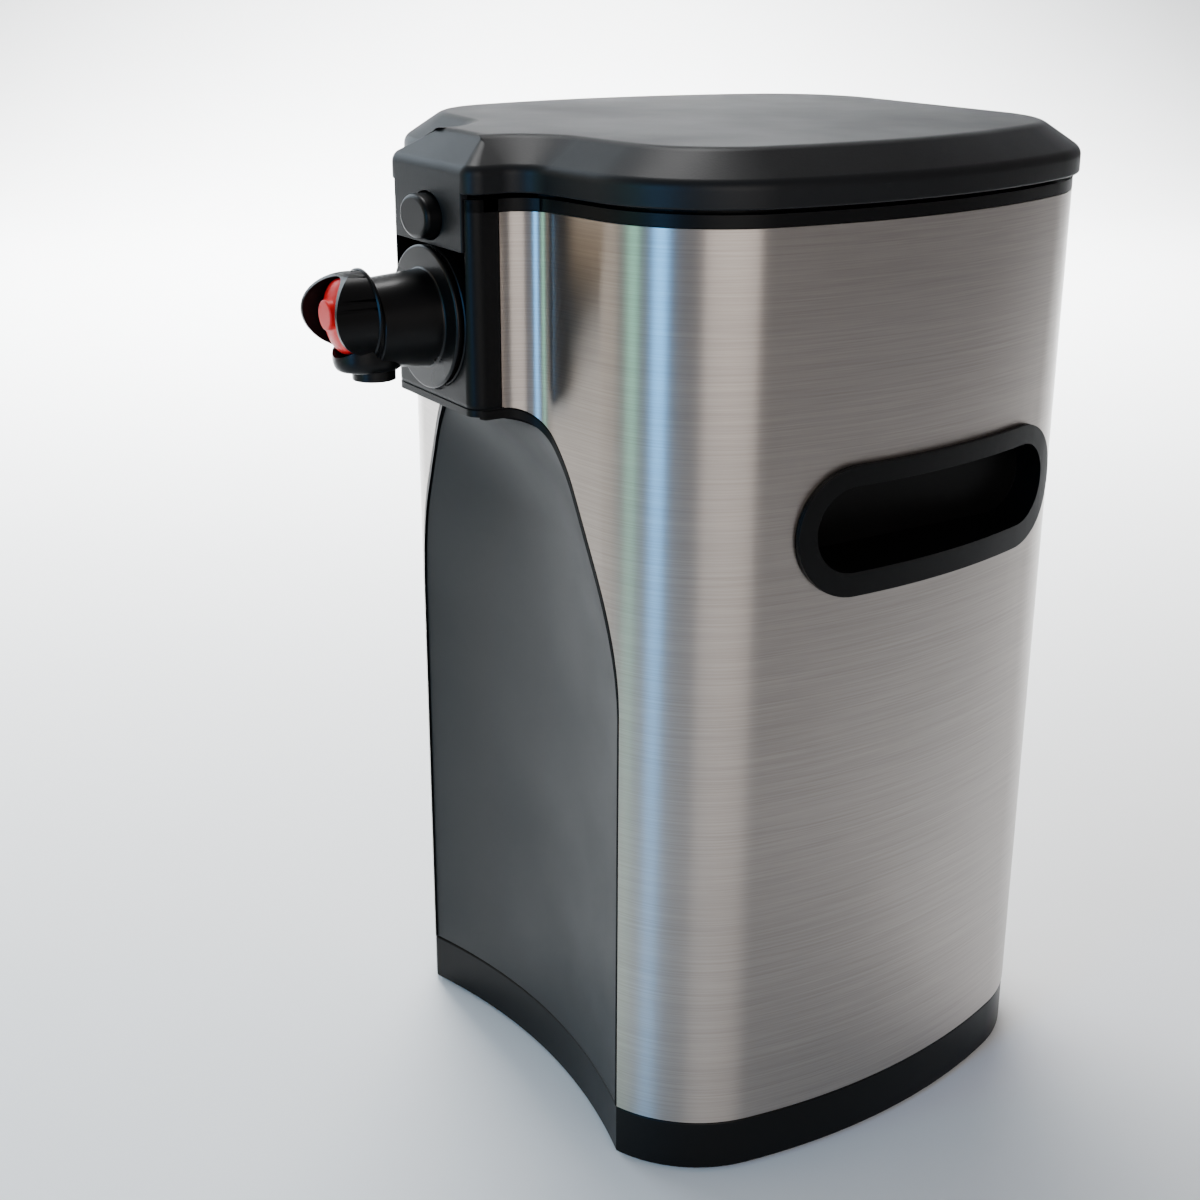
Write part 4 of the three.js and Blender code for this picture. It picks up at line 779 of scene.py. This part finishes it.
class DISPENSER_OT_nose(bpy.types.Operator):
    """Models the nose with its slot, the cradle behind it and the trims along the arch"""

    bl_idname = "dispenser.nose"
    bl_label = "Nose and trims"

    def execute(self, context):
        body, tap = measured("dispenser_body"), measured("dispenser_tap")
        behind = -STEEL_SHEET - GAP
        inside = behind - BEZEL_WALL
        ahead = NOSE_Y - OVERRUN
        half, chin, rim, wide = body.nose_half, body.chin, body.rim_top, body.half_width
        face_back = NOSE_EDGE_Y - GAP

        layers = [
            (outline(-CHIN_ROUND - u), chin + CHIN_ROUND + v) for u, v in arc(0, 0, CHIN_ROUND, 270, 180, 8)
        ]
        shell = cut(
            loft("nose", [*layers, (outline(0), rim)]),
            body_prism(inside, chin + CHIN_FLOOR, rim + OVERRUN),
        )
        common(shell, block("face", -half, half, ahead, face_back, chin - OVERRUN, rim))
        rims = [
            common(body_ring(inside, out, low, rim), block("rim", -wide, wide, ahead, RIM_JOINT_Y, chin, rim))
            for out, low in ((behind, chin), (0, body.steel_top + GAP))
        ]
        inner, outer = half + inside, half + behind
        tail = block("tail", -outer, outer, face_back - GAP, BEZEL_BACK, chin, chin + CHIN_FLOOR)
        walls = [
            block("wall", min(a, b), max(a, b), NOSE_Y + body.nose_corner, BEZEL_BACK, chin, BEZEL_SIDE_TOP)
            for a, b in ((inner, outer), (-inner, -outer))
        ]
        join(shell, tail, *rims, *walls)
        cut(shell, u_slot(tap.slot_radius, ahead, CRADLE_FRONT + OVERRUN))
        edit(shell, merge)
        fit(smooth(shell), "nose_moulding", "housing", "black", "front_bezel")

        cradle = block(
            "cradle", -inner - GAP, inner + GAP, CRADLE_FRONT, CRADLE_BACK, chin + CHIN_FLOOR - GAP,
            CRADLE_TOP,
        )
        cut(cradle, u_slot(GLAND_NECK + 2 * GAP, ahead, CRADLE_BACK + OVERRUN))
        fit(smooth(cradle), "gland_cradle", "housing", "black")

        trims, laps = [
            common(
                body_ring(inside, out, body.base_top + GAP, top),
                cut(
                    arch_prism(inset, inset, ahead, LINER_FRONT - GAP),
                    arch_prism(TRIM_SIDE, TRIM_DROP, ahead - OVERRUN, LINER_FRONT + OVERRUN),
                ),
            )
            for out, top, inset in ((0, body.steel_top, GAP), (behind, BEZEL_SIDE_TOP, -ARCH_LAP))
        ]
        join(trims, laps)
        fit(smooth(trims), "arch_trims", "housing", "black")
        return {"FINISHED"}


PANEL_THICKNESS = 2.5
PANEL_RECESS = 1
COVE_HEIGHT = 44.3
COVE_REACH = 37
COVE_BLEND = 6
PANEL_ROWS = 40
PANEL_COLUMNS = 24


class DISPENSER_OT_panel(bpy.types.Operator):
    """Models the hollow front panel, whose cove runs up and forward under the nose"""

    bl_idname = "dispenser.panel"
    bl_label = "Front panel"

    def execute(self, context):
        body = measured("dispenser_body")
        low, high = body.base_top + GAP, body.chin - GAP
        side = TRIM_SIDE + GAP
        edge = arch_side(side, TRIM_DROP + GAP)
        nose = body.nose_half - side
        edge.append((nose, edge[-1][1] + (edge[-1][0] - nose) * ARCH_FALL))
        cove = body.chin - COVE_HEIGHT
        hollow = flank_depth(body.arch_half) + BASE_HOLLOW

        def half_at(z):
            for (xa, za), (xb, zb) in zip(edge, edge[1:]):
                if za <= z <= zb:
                    return xa + (xb - xa) * (z - za) / (zb - za)
            return nose

        heights = [low + (cove - low) * i / PANEL_ROWS for i in range(PANEL_ROWS)]
        turns = [radians(90 * i / PANEL_ROWS) for i in range(PANEL_ROWS + 1)]
        heights += [cove + (high - cove) * sin(turn) for turn in turns]
        shares = [i / PANEL_COLUMNS - 1 for i in range(2 * PANEL_COLUMNS + 1)]
        layers = []
        for z in heights:
            half = half_at(z)
            share = max(0, (z - cove) / COVE_HEIGHT)
            middle = hollow - COVE_REACH * (1 - sqrt(1 - share ** 2))
            edge_y = flank_depth(max(half, body.nose_half + VALLEY_RADIUS)) + PANEL_RECESS
            rim = edge_y + (middle - edge_y) * share ** COVE_BLEND
            places = [half * s for s in shares]
            front = [(x, rim + (middle - rim) * (1 - (x / half) ** 2)) for x in places]
            back = [(x, y + PANEL_THICKNESS) for x, y in reversed(front)]
            layers.append((front + back, z))
        fit(smooth(loft("panel", layers)), "hollow_panel", "housing", "panel_grey", "front_panel")
        return {"FINISHED"}


HANDLE_CENTRE = (100.35, 225.8)
HANDLE_LIP = 6.5
HANDLE_LIP_LOW = 8
HANDLE_WALL = 2
HANDLE_PROUD = 2
HANDLE_SOFT = 0.8


def handle_outline(inset):
    body = measured("dispenser_body")
    return obround(*HANDLE_CENTRE, body.handle_length - 2 * inset, body.handle_height - 2 * inset)


def mouth_outline(grow):
    body = measured("dispenser_body")
    return obround(
        HANDLE_CENTRE[0], HANDLE_CENTRE[1] + (HANDLE_LIP_LOW - HANDLE_LIP) / 2,
        body.handle_length - 2 * (HANDLE_LIP - grow),
        body.handle_height - HANDLE_LIP - HANDLE_LIP_LOW + 2 * grow,
    )


class DISPENSER_OT_handles(bpy.types.Operator):
    """Models the handle insert of one side and mirrors it"""

    bl_idname = "dispenser.handles"
    bl_label = "Handle inserts"

    def execute(self, context):
        body = measured("dispenser_body")
        inner = LINER_HALF + GAP
        outer = body.half_width + HANDLE_PROUD + OVERRUN
        low, high = HANDLE_CENTRE[1] - body.handle_height, HANDLE_CENTRE[1] + body.handle_height
        cup = common(body_ring(GAP, HANDLE_PROUD, low, high), prism("lip", handle_outline(0), 0, outer, "x"))
        neck = common(
            prism("neck", mouth_outline(HANDLE_WALL), inner, outer, "x"), body_prism(HANDLE_PROUD, low, high)
        )
        join(cup, neck)
        cut(cup, prism("mouth", mouth_outline(0), inner + HANDLE_WALL, outer + OVERRUN, "x"))
        soften(cup, HANDLE_SOFT, 4, 50)
        twin = mirrored(cup)
        fit(smooth(cup), "handle_insert_right", "housing", "black", "handle_cup_right")
        fit(smooth(twin), "handle_insert_left", "housing", "black", "handle_cup_left")
        return {"FINISHED"}


LINER_WALL = 2.5
LINER_CORNER = 14
LINER_BOTTOM = 22
DECK_THICKNESS = 2.7
RIM_WIDTH = 4
BOSS_WIDTH = 4.5
BOSS_TOP = 26.7
ARM_X = 38
ARM_SLOT_HALF = 5.6
ARM_SLOT = (26.2, 246.4)


class DISPENSER_OT_liner(bpy.types.Operator):
    """Models the chamber liner with its deck and the rim under the lid"""

    bl_idname = "dispenser.liner"
    bl_label = "Chamber liner"

    def execute(self, context):
        body = measured("dispenser_body")
        deck_top = body.steel_top + GAP
        behind = -STEEL_SHEET - GAP
        wide = body.half_width + OVERRUN
        above = body.rim_top + OVERRUN
        half = LINER_HALF - LINER_WALL
        front, back = LINER_FRONT + LINER_WALL, LINER_BACK - LINER_WALL
        passage = body.nose_half - STEEL_SHEET - 2 * GAP - BEZEL_WALL
        outside = rounded(-LINER_HALF, LINER_HALF, LINER_FRONT, LINER_BACK, LINER_CORNER)
        inside = rounded(-half, half, front, back, LINER_CORNER - LINER_WALL)

        well = prism("well", outside, LINER_BOTTOM, deck_top)
        rim = join(
            body_ring(-RIM_WIDTH, 0, deck_top, body.rim_top),
            body_prism(behind, deck_top - DECK_THICKNESS, deck_top + GAP),
        )
        cut(rim, block("front", -wide, wide, NOSE_Y - OVERRUN, RIM_JOINT_Y + GAP, 0, above))
        join(well, rim)
        cut(
            well,
            prism("inside", inside, LINER_BOTTOM + LINER_WALL, above),
            block("passage", -passage, passage, NOSE_Y, front + GAP, body.chin + CHIN_FLOOR, above),
        )
        for x in (-ARM_X, ARM_X):
            slot = (x - ARM_SLOT_HALF, x + ARM_SLOT_HALF, back - GAP, LINER_BACK + GAP)
            cut(well, block("slot", *slot, *ARM_SLOT))
        for x, y in BASE_SCREW_PLACES:
            join(well, bar("boss", BOSS_WIDTH, body.base_top + GAP, BOSS_TOP, "z", x, y, 48))
            cut(well, bar("hole", SCREW_HOLE, body.base_top, BOSS_TOP - GAP, "z", x, y, 24))
        fit(smooth(well), "chamber_well", "housing", "black", "chamber_liner")
        return {"FINISHED"}


LID_WALL = 2.4
LID_NOSE_OVERHANG = 0.5
TONGUE_HALF = 22.4
TONGUE_FRONT = -31.5
TONGUE_BACK = -28.9
TONGUE_BOTTOM = 308
TONGUE_LAP = 1
TONGUE_SOFT = 0.35
BUTTON_Z = 316.7
BUTTON_PIT = 0.6
BUTTON_PROUD = 5
BUTTON_SOFT = 1.6
FLANGE_FRONT = -28.6
FLANGE_BACK = -26.4
FLANGE_LAP = 1.5
HINGE_Y = 192.6
HINGE_Z = 323
KNUCKLE_RADIUS = 3.6
KNUCKLE_HALF = 17
PIN_RADIUS = 1.5


def hinge_bar(name, radius, low, high, count=48):
    return bar(name, radius, low, high, "x", HINGE_Y, HINGE_Z, count)


def lid_profile(lid):
    """The lid's outer edge as (inset, z), with rounded turns at the foot, the shoulder and the top."""
    tilt = degrees(atan2(lid.top - lid.shoulder, lid.slope))
    foot_radius, shoulder_radius, top_radius = 0.6, 4, 7
    reach = shoulder_radius * tan(radians(90 - tilt) / 2)
    back = top_radius * tan(radians(tilt) / 2)
    return [
        *arc(foot_radius, lid.bottom + foot_radius, foot_radius, 270, 180, 4),
        *arc(shoulder_radius, lid.shoulder - reach, shoulder_radius, 180, 90 + tilt, 8),
        *arc(lid.slope + back, lid.top - top_radius, top_radius, 90 + tilt, 90, 8),
    ]


class DISPENSER_OT_lid(bpy.types.Operator):
    """Models the lid with its tongue and knuckle, and the oval button in it"""

    bl_idname = "dispenser.lid"
    bl_label = "Lid and button"

    def execute(self, context):
        lid = measured("dispenser_lid")

        def edge(inset):
            return outline(lid.overhang - inset, LID_NOSE_OVERHANG - inset)

        shell = loft("lid", [(edge(inset), z) for inset, z in lid_profile(lid)])
        cut(shell, loft("inside", [
            (edge(LID_WALL), lid.bottom - OVERRUN),
            (edge(LID_WALL), lid.shoulder - LID_WALL / 2),
            (edge(lid.slope + LID_WALL / 2), lid.top - LID_WALL),
        ]))
        tongue = block(
            "tongue", -TONGUE_HALF, TONGUE_HALF, TONGUE_FRONT, TONGUE_BACK, TONGUE_BOTTOM,
            lid.bottom + TONGUE_LAP,
        )
        pit = oval(0, BUTTON_Z, lid.button_half + BUTTON_PIT, lid.button_rise + BUTTON_PIT)
        cut(tongue, prism("pit", pit, TONGUE_FRONT - OVERRUN, TONGUE_BACK + GAP, "y"))
        soften(tongue, TONGUE_SOFT, 3, 50)
        far = KNUCKLE_HALF + OVERRUN
        join(
            shell,
            tongue,
            hinge_bar("knuckle", KNUCKLE_RADIUS, -KNUCKLE_HALF, KNUCKLE_HALF),
            block(
                "web", -KNUCKLE_HALF, KNUCKLE_HALF, BACK_Y + lid.overhang - GAP, HINGE_Y, lid.bottom,
                lid.bottom + KNUCKLE_RADIUS,
            ),
        )
        cut(shell, hinge_bar("pin", PIN_RADIUS + GAP, -far, far, 32))
        fit(smooth(shell), "lid_moulding", "lid", "lid_black", "lid_shell")

        front = TONGUE_FRONT - BUTTON_PROUD
        profile = [
            *arc(BUTTON_SOFT, front + BUTTON_SOFT, BUTTON_SOFT, 270, 180, 6), (0, FLANGE_FRONT),
            (-FLANGE_LAP, FLANGE_FRONT), (-FLANGE_LAP, FLANGE_BACK),
        ]
        rows = []
        for inset, y in profile:
            ring = oval(0, BUTTON_Z, lid.button_half - inset, lid.button_rise - inset)
            rows.append([at(x, y, z) for x, z in ring])
        fit(smooth(skin("button", rows)), "oval_button", "lid_button", "black", "lid_button")
        return {"FINISHED"}


HINGE_HALF = 28
HINGE_PLATE = 2
HINGE_PLATE_LOW = 301
HINGE_PLATE_HIGH = 318
HINGE_PLATE_SOFT = 0.4


class DISPENSER_OT_hinge(bpy.types.Operator):
    """Models the hinge plate with its outer knuckles"""

    bl_idname = "dispenser.hinge"
    bl_label = "Hinge plate"

    def execute(self, context):
        front = BACK_Y + GAP
        plate = block(
            "plate", -HINGE_HALF, HINGE_HALF, front, front + HINGE_PLATE, HINGE_PLATE_LOW, HINGE_PLATE_HIGH
        )
        soften(plate, HINGE_PLATE_SOFT)
        for side in (-1, 1):
            near, end = sorted((side * (KNUCKLE_HALF + GAP), side * HINGE_HALF))
            join(
                plate,
                hinge_bar("knuckle", KNUCKLE_RADIUS, near, end),
                block("web", near, end, front, HINGE_Y, HINGE_PLATE_HIGH - KNUCKLE_RADIUS, HINGE_Z),
            )
        far = HINGE_HALF + OVERRUN
        cut(plate, hinge_bar("pin", PIN_RADIUS + GAP, -far, far, 32), *hinge_screw_holes())
        fit(smooth(plate), "hinge_plate", "housing", "black", "hinge_bracket")
        return {"FINISHED"}


DISC_FRONT = -33.7
DISC_BACK = -31.8
DISC_ROUND = 0.9
BARREL_FILLET = 0.8
TAP_BEVEL = 0.3
SPIGOT_RADIUS = 12.9
SPIGOT_BACK = -23.8
GLAND_PROFILE = (
    (13.2, -30.8), (22.1, -30.8), (22.4, -30.5), (22.4, -28.0), (16.8, -28.0), (16.8, -25.0), (21.6, -25.0),
    (21.6, -22.6), (13.2, -22.6), (13.2, -30.8),
)
BARREL_END = -53.4
GROOVE_RADIUS = 13
HEAD_START = -54.2
BEAD_WIDTH = 1.3
BEAD_PROUD = 0.6
BEAD_BEVEL = 0.4
HEAD_SIDE = (-55.2, 289.4)
HEAD_SIDE_REACH = 14.1
HEAD_SIDE_RISE = 12.7
HEAD_WALL = 1.3
HEAD_SPARE = 1
MOUTH_BACK = -55.3
BORE = 9.6
SEAT_Y = -44
SEAT_BACK = -42
SEAT_HOLE = 6
OUTLET_Y = -51.5
OUTLET_RADIUS = 7
OUTLET_DRAFT = 0.2
OUTLET_BORE = 5.2
OUTLET_BOTTOM = 267.7
CHEST_RADIUS = 9.4
CHEST_FRONT = -55.15
CHEST_BOTTOM = 271
CHEST_TOP = 284
CHEST_SOFT = 4
CAP_Y = -58.6
CAP_SKIRT = 2.4
CAP_DOME = 4.6
BOSS_RADIUS = 4.7
BOSS_REACH = 8.8
BOSS_RISE = 1
BOSS_ROUND = 0.6
CAP_SOFT = 0.3


def chest_outline(radius):
    return arc(0, OUTLET_Y, radius, 0, 180, 32) + arc(0, CHEST_FRONT, radius, 180, 360, 32)


class DISPENSER_OT_tap(bpy.types.Operator):
    """Models the gland, the tap and its red push cap"""

    bl_idname = "dispenser.tap"
    bl_label = "Tap"

    def execute(self, context):
        tap = measured("dispenser_tap")
        axis, head_axis, head_radius = tap.axis, tap.head_axis, tap.head_radius
        fit(smooth(lathe("gland", GLAND_PROFILE, 0, axis)), "gland_ring", "housing", "tap_black", "bag_gland")

        far = HEAD_SIDE[0] - HEAD_SIDE_REACH - OVERRUN
        shank = lathe("shank", [
            (0, SPIGOT_BACK), (SPIGOT_RADIUS, SPIGOT_BACK), (SPIGOT_RADIUS, DISC_BACK),
            (tap.disc_radius - TAP_BEVEL, DISC_BACK),
            *arc(tap.disc_radius - DISC_ROUND, DISC_FRONT + DISC_ROUND, DISC_ROUND, 0, -90, 5),
            *arc(tap.barrel_root + BARREL_FILLET, DISC_FRONT - BARREL_FILLET, BARREL_FILLET, 90, 180, 4),
            (tap.barrel_front, BARREL_END + TAP_BEVEL), (tap.barrel_front - TAP_BEVEL, BARREL_END),
            (GROOVE_RADIUS, BARREL_END), (GROOVE_RADIUS, HEAD_START - GAP), (0, HEAD_START - GAP),
        ], 0, axis)
        reach = head_radius + HEAD_SPARE
        head = common(
            bar("head", head_radius, far, HEAD_START, "y", 0, head_axis),
            join(
                prism("hood", oval(*HEAD_SIDE, HEAD_SIDE_REACH, HEAD_SIDE_RISE, 128), -reach, reach, "x"),
                block(
                    "flat", -reach, reach, HEAD_SIDE[0] - HEAD_SPARE, HEAD_START + HEAD_SPARE,
                    head_axis - reach, head_axis + reach,
                ),
            ),
        )
        bead_outer = head_radius + BEAD_PROUD
        bead_inner = bead_outer - BEAD_BEVEL
        bead_end = HEAD_START - BEAD_WIDTH
        bead = lathe("bead", [
            (0, HEAD_START), (bead_inner, HEAD_START), (bead_outer, HEAD_START - BEAD_BEVEL),
            (bead_outer, bead_end + BEAD_BEVEL), (bead_inner, bead_end), (0, bead_end),
        ], 0, head_axis)
        layers = []
        for inset, drop in arc(0, 0, CHEST_SOFT, 270, 360, 8):
            radius = CHEST_RADIUS - (CHEST_SOFT - inset) / 2
            layers.append((chest_outline(radius), CHEST_BOTTOM + CHEST_SOFT + drop))
        layers.append((chest_outline(CHEST_RADIUS), CHEST_TOP))
        spout = ((OUTLET_RADIUS - OUTLET_DRAFT, OUTLET_BOTTOM), (OUTLET_RADIUS, CHEST_BOTTOM + CHEST_SOFT))
        outlet = loft("outlet", [(oval(0, OUTLET_Y, r, r, 96), z) for r, z in spout])
        join(shank, head, bead, loft("chest", layers), outlet)
        cut(
            shank,
            bar("mouth", head_radius - HEAD_WALL, far - OVERRUN, MOUTH_BACK, "y", 0, head_axis),
            bar("bore", BORE, MOUTH_BACK - GAP, SEAT_Y, "y", 0, axis),
            bar("seat", SEAT_HOLE, SEAT_Y - GAP, SEAT_BACK + GAP, "y", 0, axis, 64),
            bar("rear_bore", BORE, SEAT_BACK, SPIGOT_BACK + OVERRUN, "y", 0, axis),
            bar("outlet_bore", OUTLET_BORE, OUTLET_BOTTOM - OVERRUN, axis, "z", 0, OUTLET_Y, 64),
        )
        edit(shank, merge)
        fit(smooth(shank), "tap_moulding", "housing", "tap_black", "tap_body")

        rim = CAP_Y - CAP_SKIRT
        dome = arc(0, rim, tap.cap_radius, 0, -90, 20, CAP_DOME)
        edge = (tap.cap_radius, CAP_Y)
        cap = lathe("cap", [(0, CAP_Y), edge, *dome[:-1], (0, rim - CAP_DOME)], 0, head_axis)
        face = CAP_Y - BOSS_REACH
        boss = lathe("boss", [
            (0, rim), (BOSS_RADIUS, rim),
            *arc(BOSS_RADIUS - BOSS_ROUND, face + BOSS_ROUND, BOSS_ROUND, 0, -90, 5), (0, face),
        ], 0, head_axis + BOSS_RISE, 64)
        join(cap, boss)
        soften(cap, CAP_SOFT, 3, 35)
        fit(smooth(cap, 40), "push_cap", "tap_button", "tap_red", "tap_push_button")
        return {"FINISHED"}


TAPE_X = 21
TAPE_HALF = 6
TAPE_DEPTH = (165.7, 166.1)
TAPE_HEIGHT = (25.3, 296)
COIL_RADIUS = 3.4
COIL_WIRE = 0.35
COIL_TURNS = 4
COIL_STEPS = 24
COIL_ENDS = (-23.25, -16.55)
COIL_Z = 315.5


class DISPENSER_OT_springs(bpy.types.Operator):
    """Models the spring tapes and the button's spring, which change length as they work"""

    bl_idname = "dispenser.springs"
    bl_label = "Springs"

    def execute(self, context):
        for side, x in (("left", -TAPE_X), ("right", TAPE_X)):
            tape = block("tape", x - TAPE_HALF, x + TAPE_HALF, *TAPE_DEPTH, *TAPE_HEIGHT)
            fit(tape, f"tape_{side}", "housing", "spring_steel", f"spring_tape_{side}")
            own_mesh(tape)
        count = COIL_STEPS * COIL_TURNS
        low, high = COIL_ENDS
        points = []
        for i in range(count + 1):
            angle = 2 * pi * COIL_TURNS * i / count
            y = low + (high - low) * i / count
            points.append(at(COIL_RADIUS * cos(angle), y, COIL_Z + COIL_RADIUS * sin(angle)))
        coil = smooth(tube("coil", points, COIL_WIRE))
        fit(coil, "latch_coil", "lid", "spring_steel", "button_spring")
        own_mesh(coil)
        return {"FINISHED"}


# Stage


class DISPENSER_OT_stage(bpy.types.Operator):
    """Sets up the floor, the lights and the camera"""

    bl_idname = "dispenser.stage"
    bl_label = "Stage"

    def execute(self, context):
        make_floor(context)
        make_lights(context)
        make_camera(context)
        return {"FINISHED"}


BACKDROP_AZIMUTH = 148
BACKDROP_START = 2.2
BACKDROP_RADIUS = 1.2
BACKDROP_TOP = 4
FLOOR_REACH = 14


def make_floor(context):
    """The floor runs up into a backdrop behind the object, as seen by the camera."""
    profile = [(-FLOOR_REACH, 0), *arc(BACKDROP_START, BACKDROP_RADIUS, BACKDROP_RADIUS, -90, 0, 16)]
    profile.append((BACKDROP_START + BACKDROP_RADIUS, BACKDROP_TOP))
    azimuth = radians(BACKDROP_AZIMUTH)
    back = Vector((cos(azimuth), sin(azimuth), 0))
    side = Vector((sin(azimuth), -cos(azimuth), 0)) * FLOOR_REACH
    floor = sheet("floor", [[back * s + Vector((0, 0, z)) + side * x for x in (-1, 1)] for s, z in profile])
    smooth(floor, 60)
    # Painted board: nearly even, with faint clouds.
    made, tree = material("painted studio floor")
    cloud = grains(tree, 90)
    base = context.scene.dispenser_colours.floor
    finish_with(tree, {
        "Base Color": tinted(tree, cloud, base, 0.97, 1.0, 0, 1),
        "Roughness": 0.5,
        "IOR": 1.45,
    })
    floor.data.materials.append(made)


LAMPS = {
    # name: azimuth and distance from the object, height of its middle, width, height, watts, colour
    "key": (-18, 1.9, 0.75, 1.5, 1.4, 9, 0xFFF7F0),
    "blue_strip": (-71, 1.3, 0.45, 0.24, 0.9, 4.2, 0x4FA8F0),
    "teal_strip": (-93, 1.3, 0.45, 0.2, 0.9, 1.5, 0x6FC4A8),
    "tan_panel": (-124, 1.8, 0.7, 1.1, 1.4, 3, 0xD9C4A4),
    "left_window": (-168, 2.0, 1.0, 1.2, 1.6, 12, 0xE2F2FF),
}
CEILING_PLACE = (-1.7, 0.85, 2.4)
CEILING_LOOKS = (1.8, 1.8, 185, 0xFFFFFF)
CEILING_SPREAD = 72
LAMP_AIM = 0.17
LAMP_SPREAD = 120
WORLD_COLOUR = 0xE4DDDF
WORLD_STRENGTH = 0.3


def add_lamp(context, name, place, aim, width, height, watts, code, spread):
    data = bpy.data.lights.new(name, "AREA")
    data.shape = "RECTANGLE"
    data.size = width
    data.size_y = height
    data.energy = watts
    data.color = colour_of(code)
    data.spread = radians(spread)
    lamp = bpy.data.objects.new(name, data)
    context.scene.collection.objects.link(lamp)
    lamp.location = place
    lamp.rotation_euler = (aim - place).to_track_quat("-Z", "Y").to_euler()


def make_lights(context):
    world = bpy.data.worlds.new("studio")
    context.scene.world = world
    world.use_nodes = True
    background = world.node_tree.nodes["Background"]
    background.inputs["Color"].default_value = (*colour_of(WORLD_COLOUR), 1)
    background.inputs["Strength"].default_value = WORLD_STRENGTH
    aim = Vector((0, 0, LAMP_AIM))
    for name, (azimuth, distance, middle, *looks) in LAMPS.items():
        turn = radians(azimuth)
        place = Vector((distance * cos(turn), distance * sin(turn), middle))
        add_lamp(context, name, place, aim, *looks, LAMP_SPREAD)
    place = Vector(CEILING_PLACE)
    below = Vector((place.x, place.y, 0))
    add_lamp(context, "ceiling", place, below, *CEILING_LOOKS, CEILING_SPREAD)


CAMERA_PLACE = (510.48, -288.83, 396.04)
CAMERA_FORWARD = (-0.795926, 0.500709, -0.340282)
CAMERA_ROLL = 0.00245
FOCUS_PIXELS = 1814.57
IMAGE_PIXELS = 1200
SENSOR = 36


def make_camera(context):
    data = bpy.data.cameras.new("camera")
    data.sensor_width = SENSOR
    data.lens = FOCUS_PIXELS / IMAGE_PIXELS * SENSOR
    data.clip_start = 0.01
    camera = bpy.data.objects.new("camera", data)
    context.scene.collection.objects.link(camera)
    forward = Vector(CAMERA_FORWARD).normalized()
    level = forward.cross(Vector((0, 0, 1))).normalized()
    upright = level.cross(forward)
    right = (level + upright * CAMERA_ROLL).normalized()
    up = right.cross(forward)
    turn = Matrix((right, up, -forward)).transposed().to_4x4()
    camera.matrix_world = Matrix.Translation(at(*CAMERA_PLACE)) @ turn
    context.scene.camera = camera


OPERATORS = [
    DISPENSER_OT_finishes,
    DISPENSER_OT_base,
    DISPENSER_OT_steel,
    DISPENSER_OT_nose,
    DISPENSER_OT_panel,
    DISPENSER_OT_handles,
    DISPENSER_OT_liner,
    DISPENSER_OT_lid,
    DISPENSER_OT_hinge,
    DISPENSER_OT_tap,
    DISPENSER_OT_springs,
    DISPENSER_OT_stage,
]


class DISPENSER_PT_pieces(bpy.types.Panel):
    """Lists the makers of the pieces and their sizes and colours"""

    bl_idname = "DISPENSER_PT_pieces"
    bl_label = "Wine dispenser"
    bl_space_type = "VIEW_3D"
    bl_region_type = "UI"
    bl_category = "Dispenser"

    def draw(self, context):
        for operator in OPERATORS:
            self.layout.operator(operator.bl_idname)
        for name, group in GROUPS.items():
            for key in group.__annotations__:
                self.layout.prop(getattr(context.scene, name), key)


def register():
    for cls in [*GROUPS.values(), *OPERATORS, DISPENSER_PT_pieces]:
        bpy.utils.register_class(cls)
    for name, group in GROUPS.items():
        setattr(bpy.types.Scene, name, bpy.props.PointerProperty(type=group))


def unregister():
    for name in GROUPS:
        delattr(bpy.types.Scene, name)
    for cls in [DISPENSER_PT_pieces, *reversed(OPERATORS), *GROUPS.values()]:
        bpy.utils.unregister_class(cls)


def main():
    register()
    for operator in OPERATORS:
        name = operator.bl_idname.split(".")[1]
        getattr(bpy.ops.dispenser, name)()


if __name__ == "__main__":
    main()
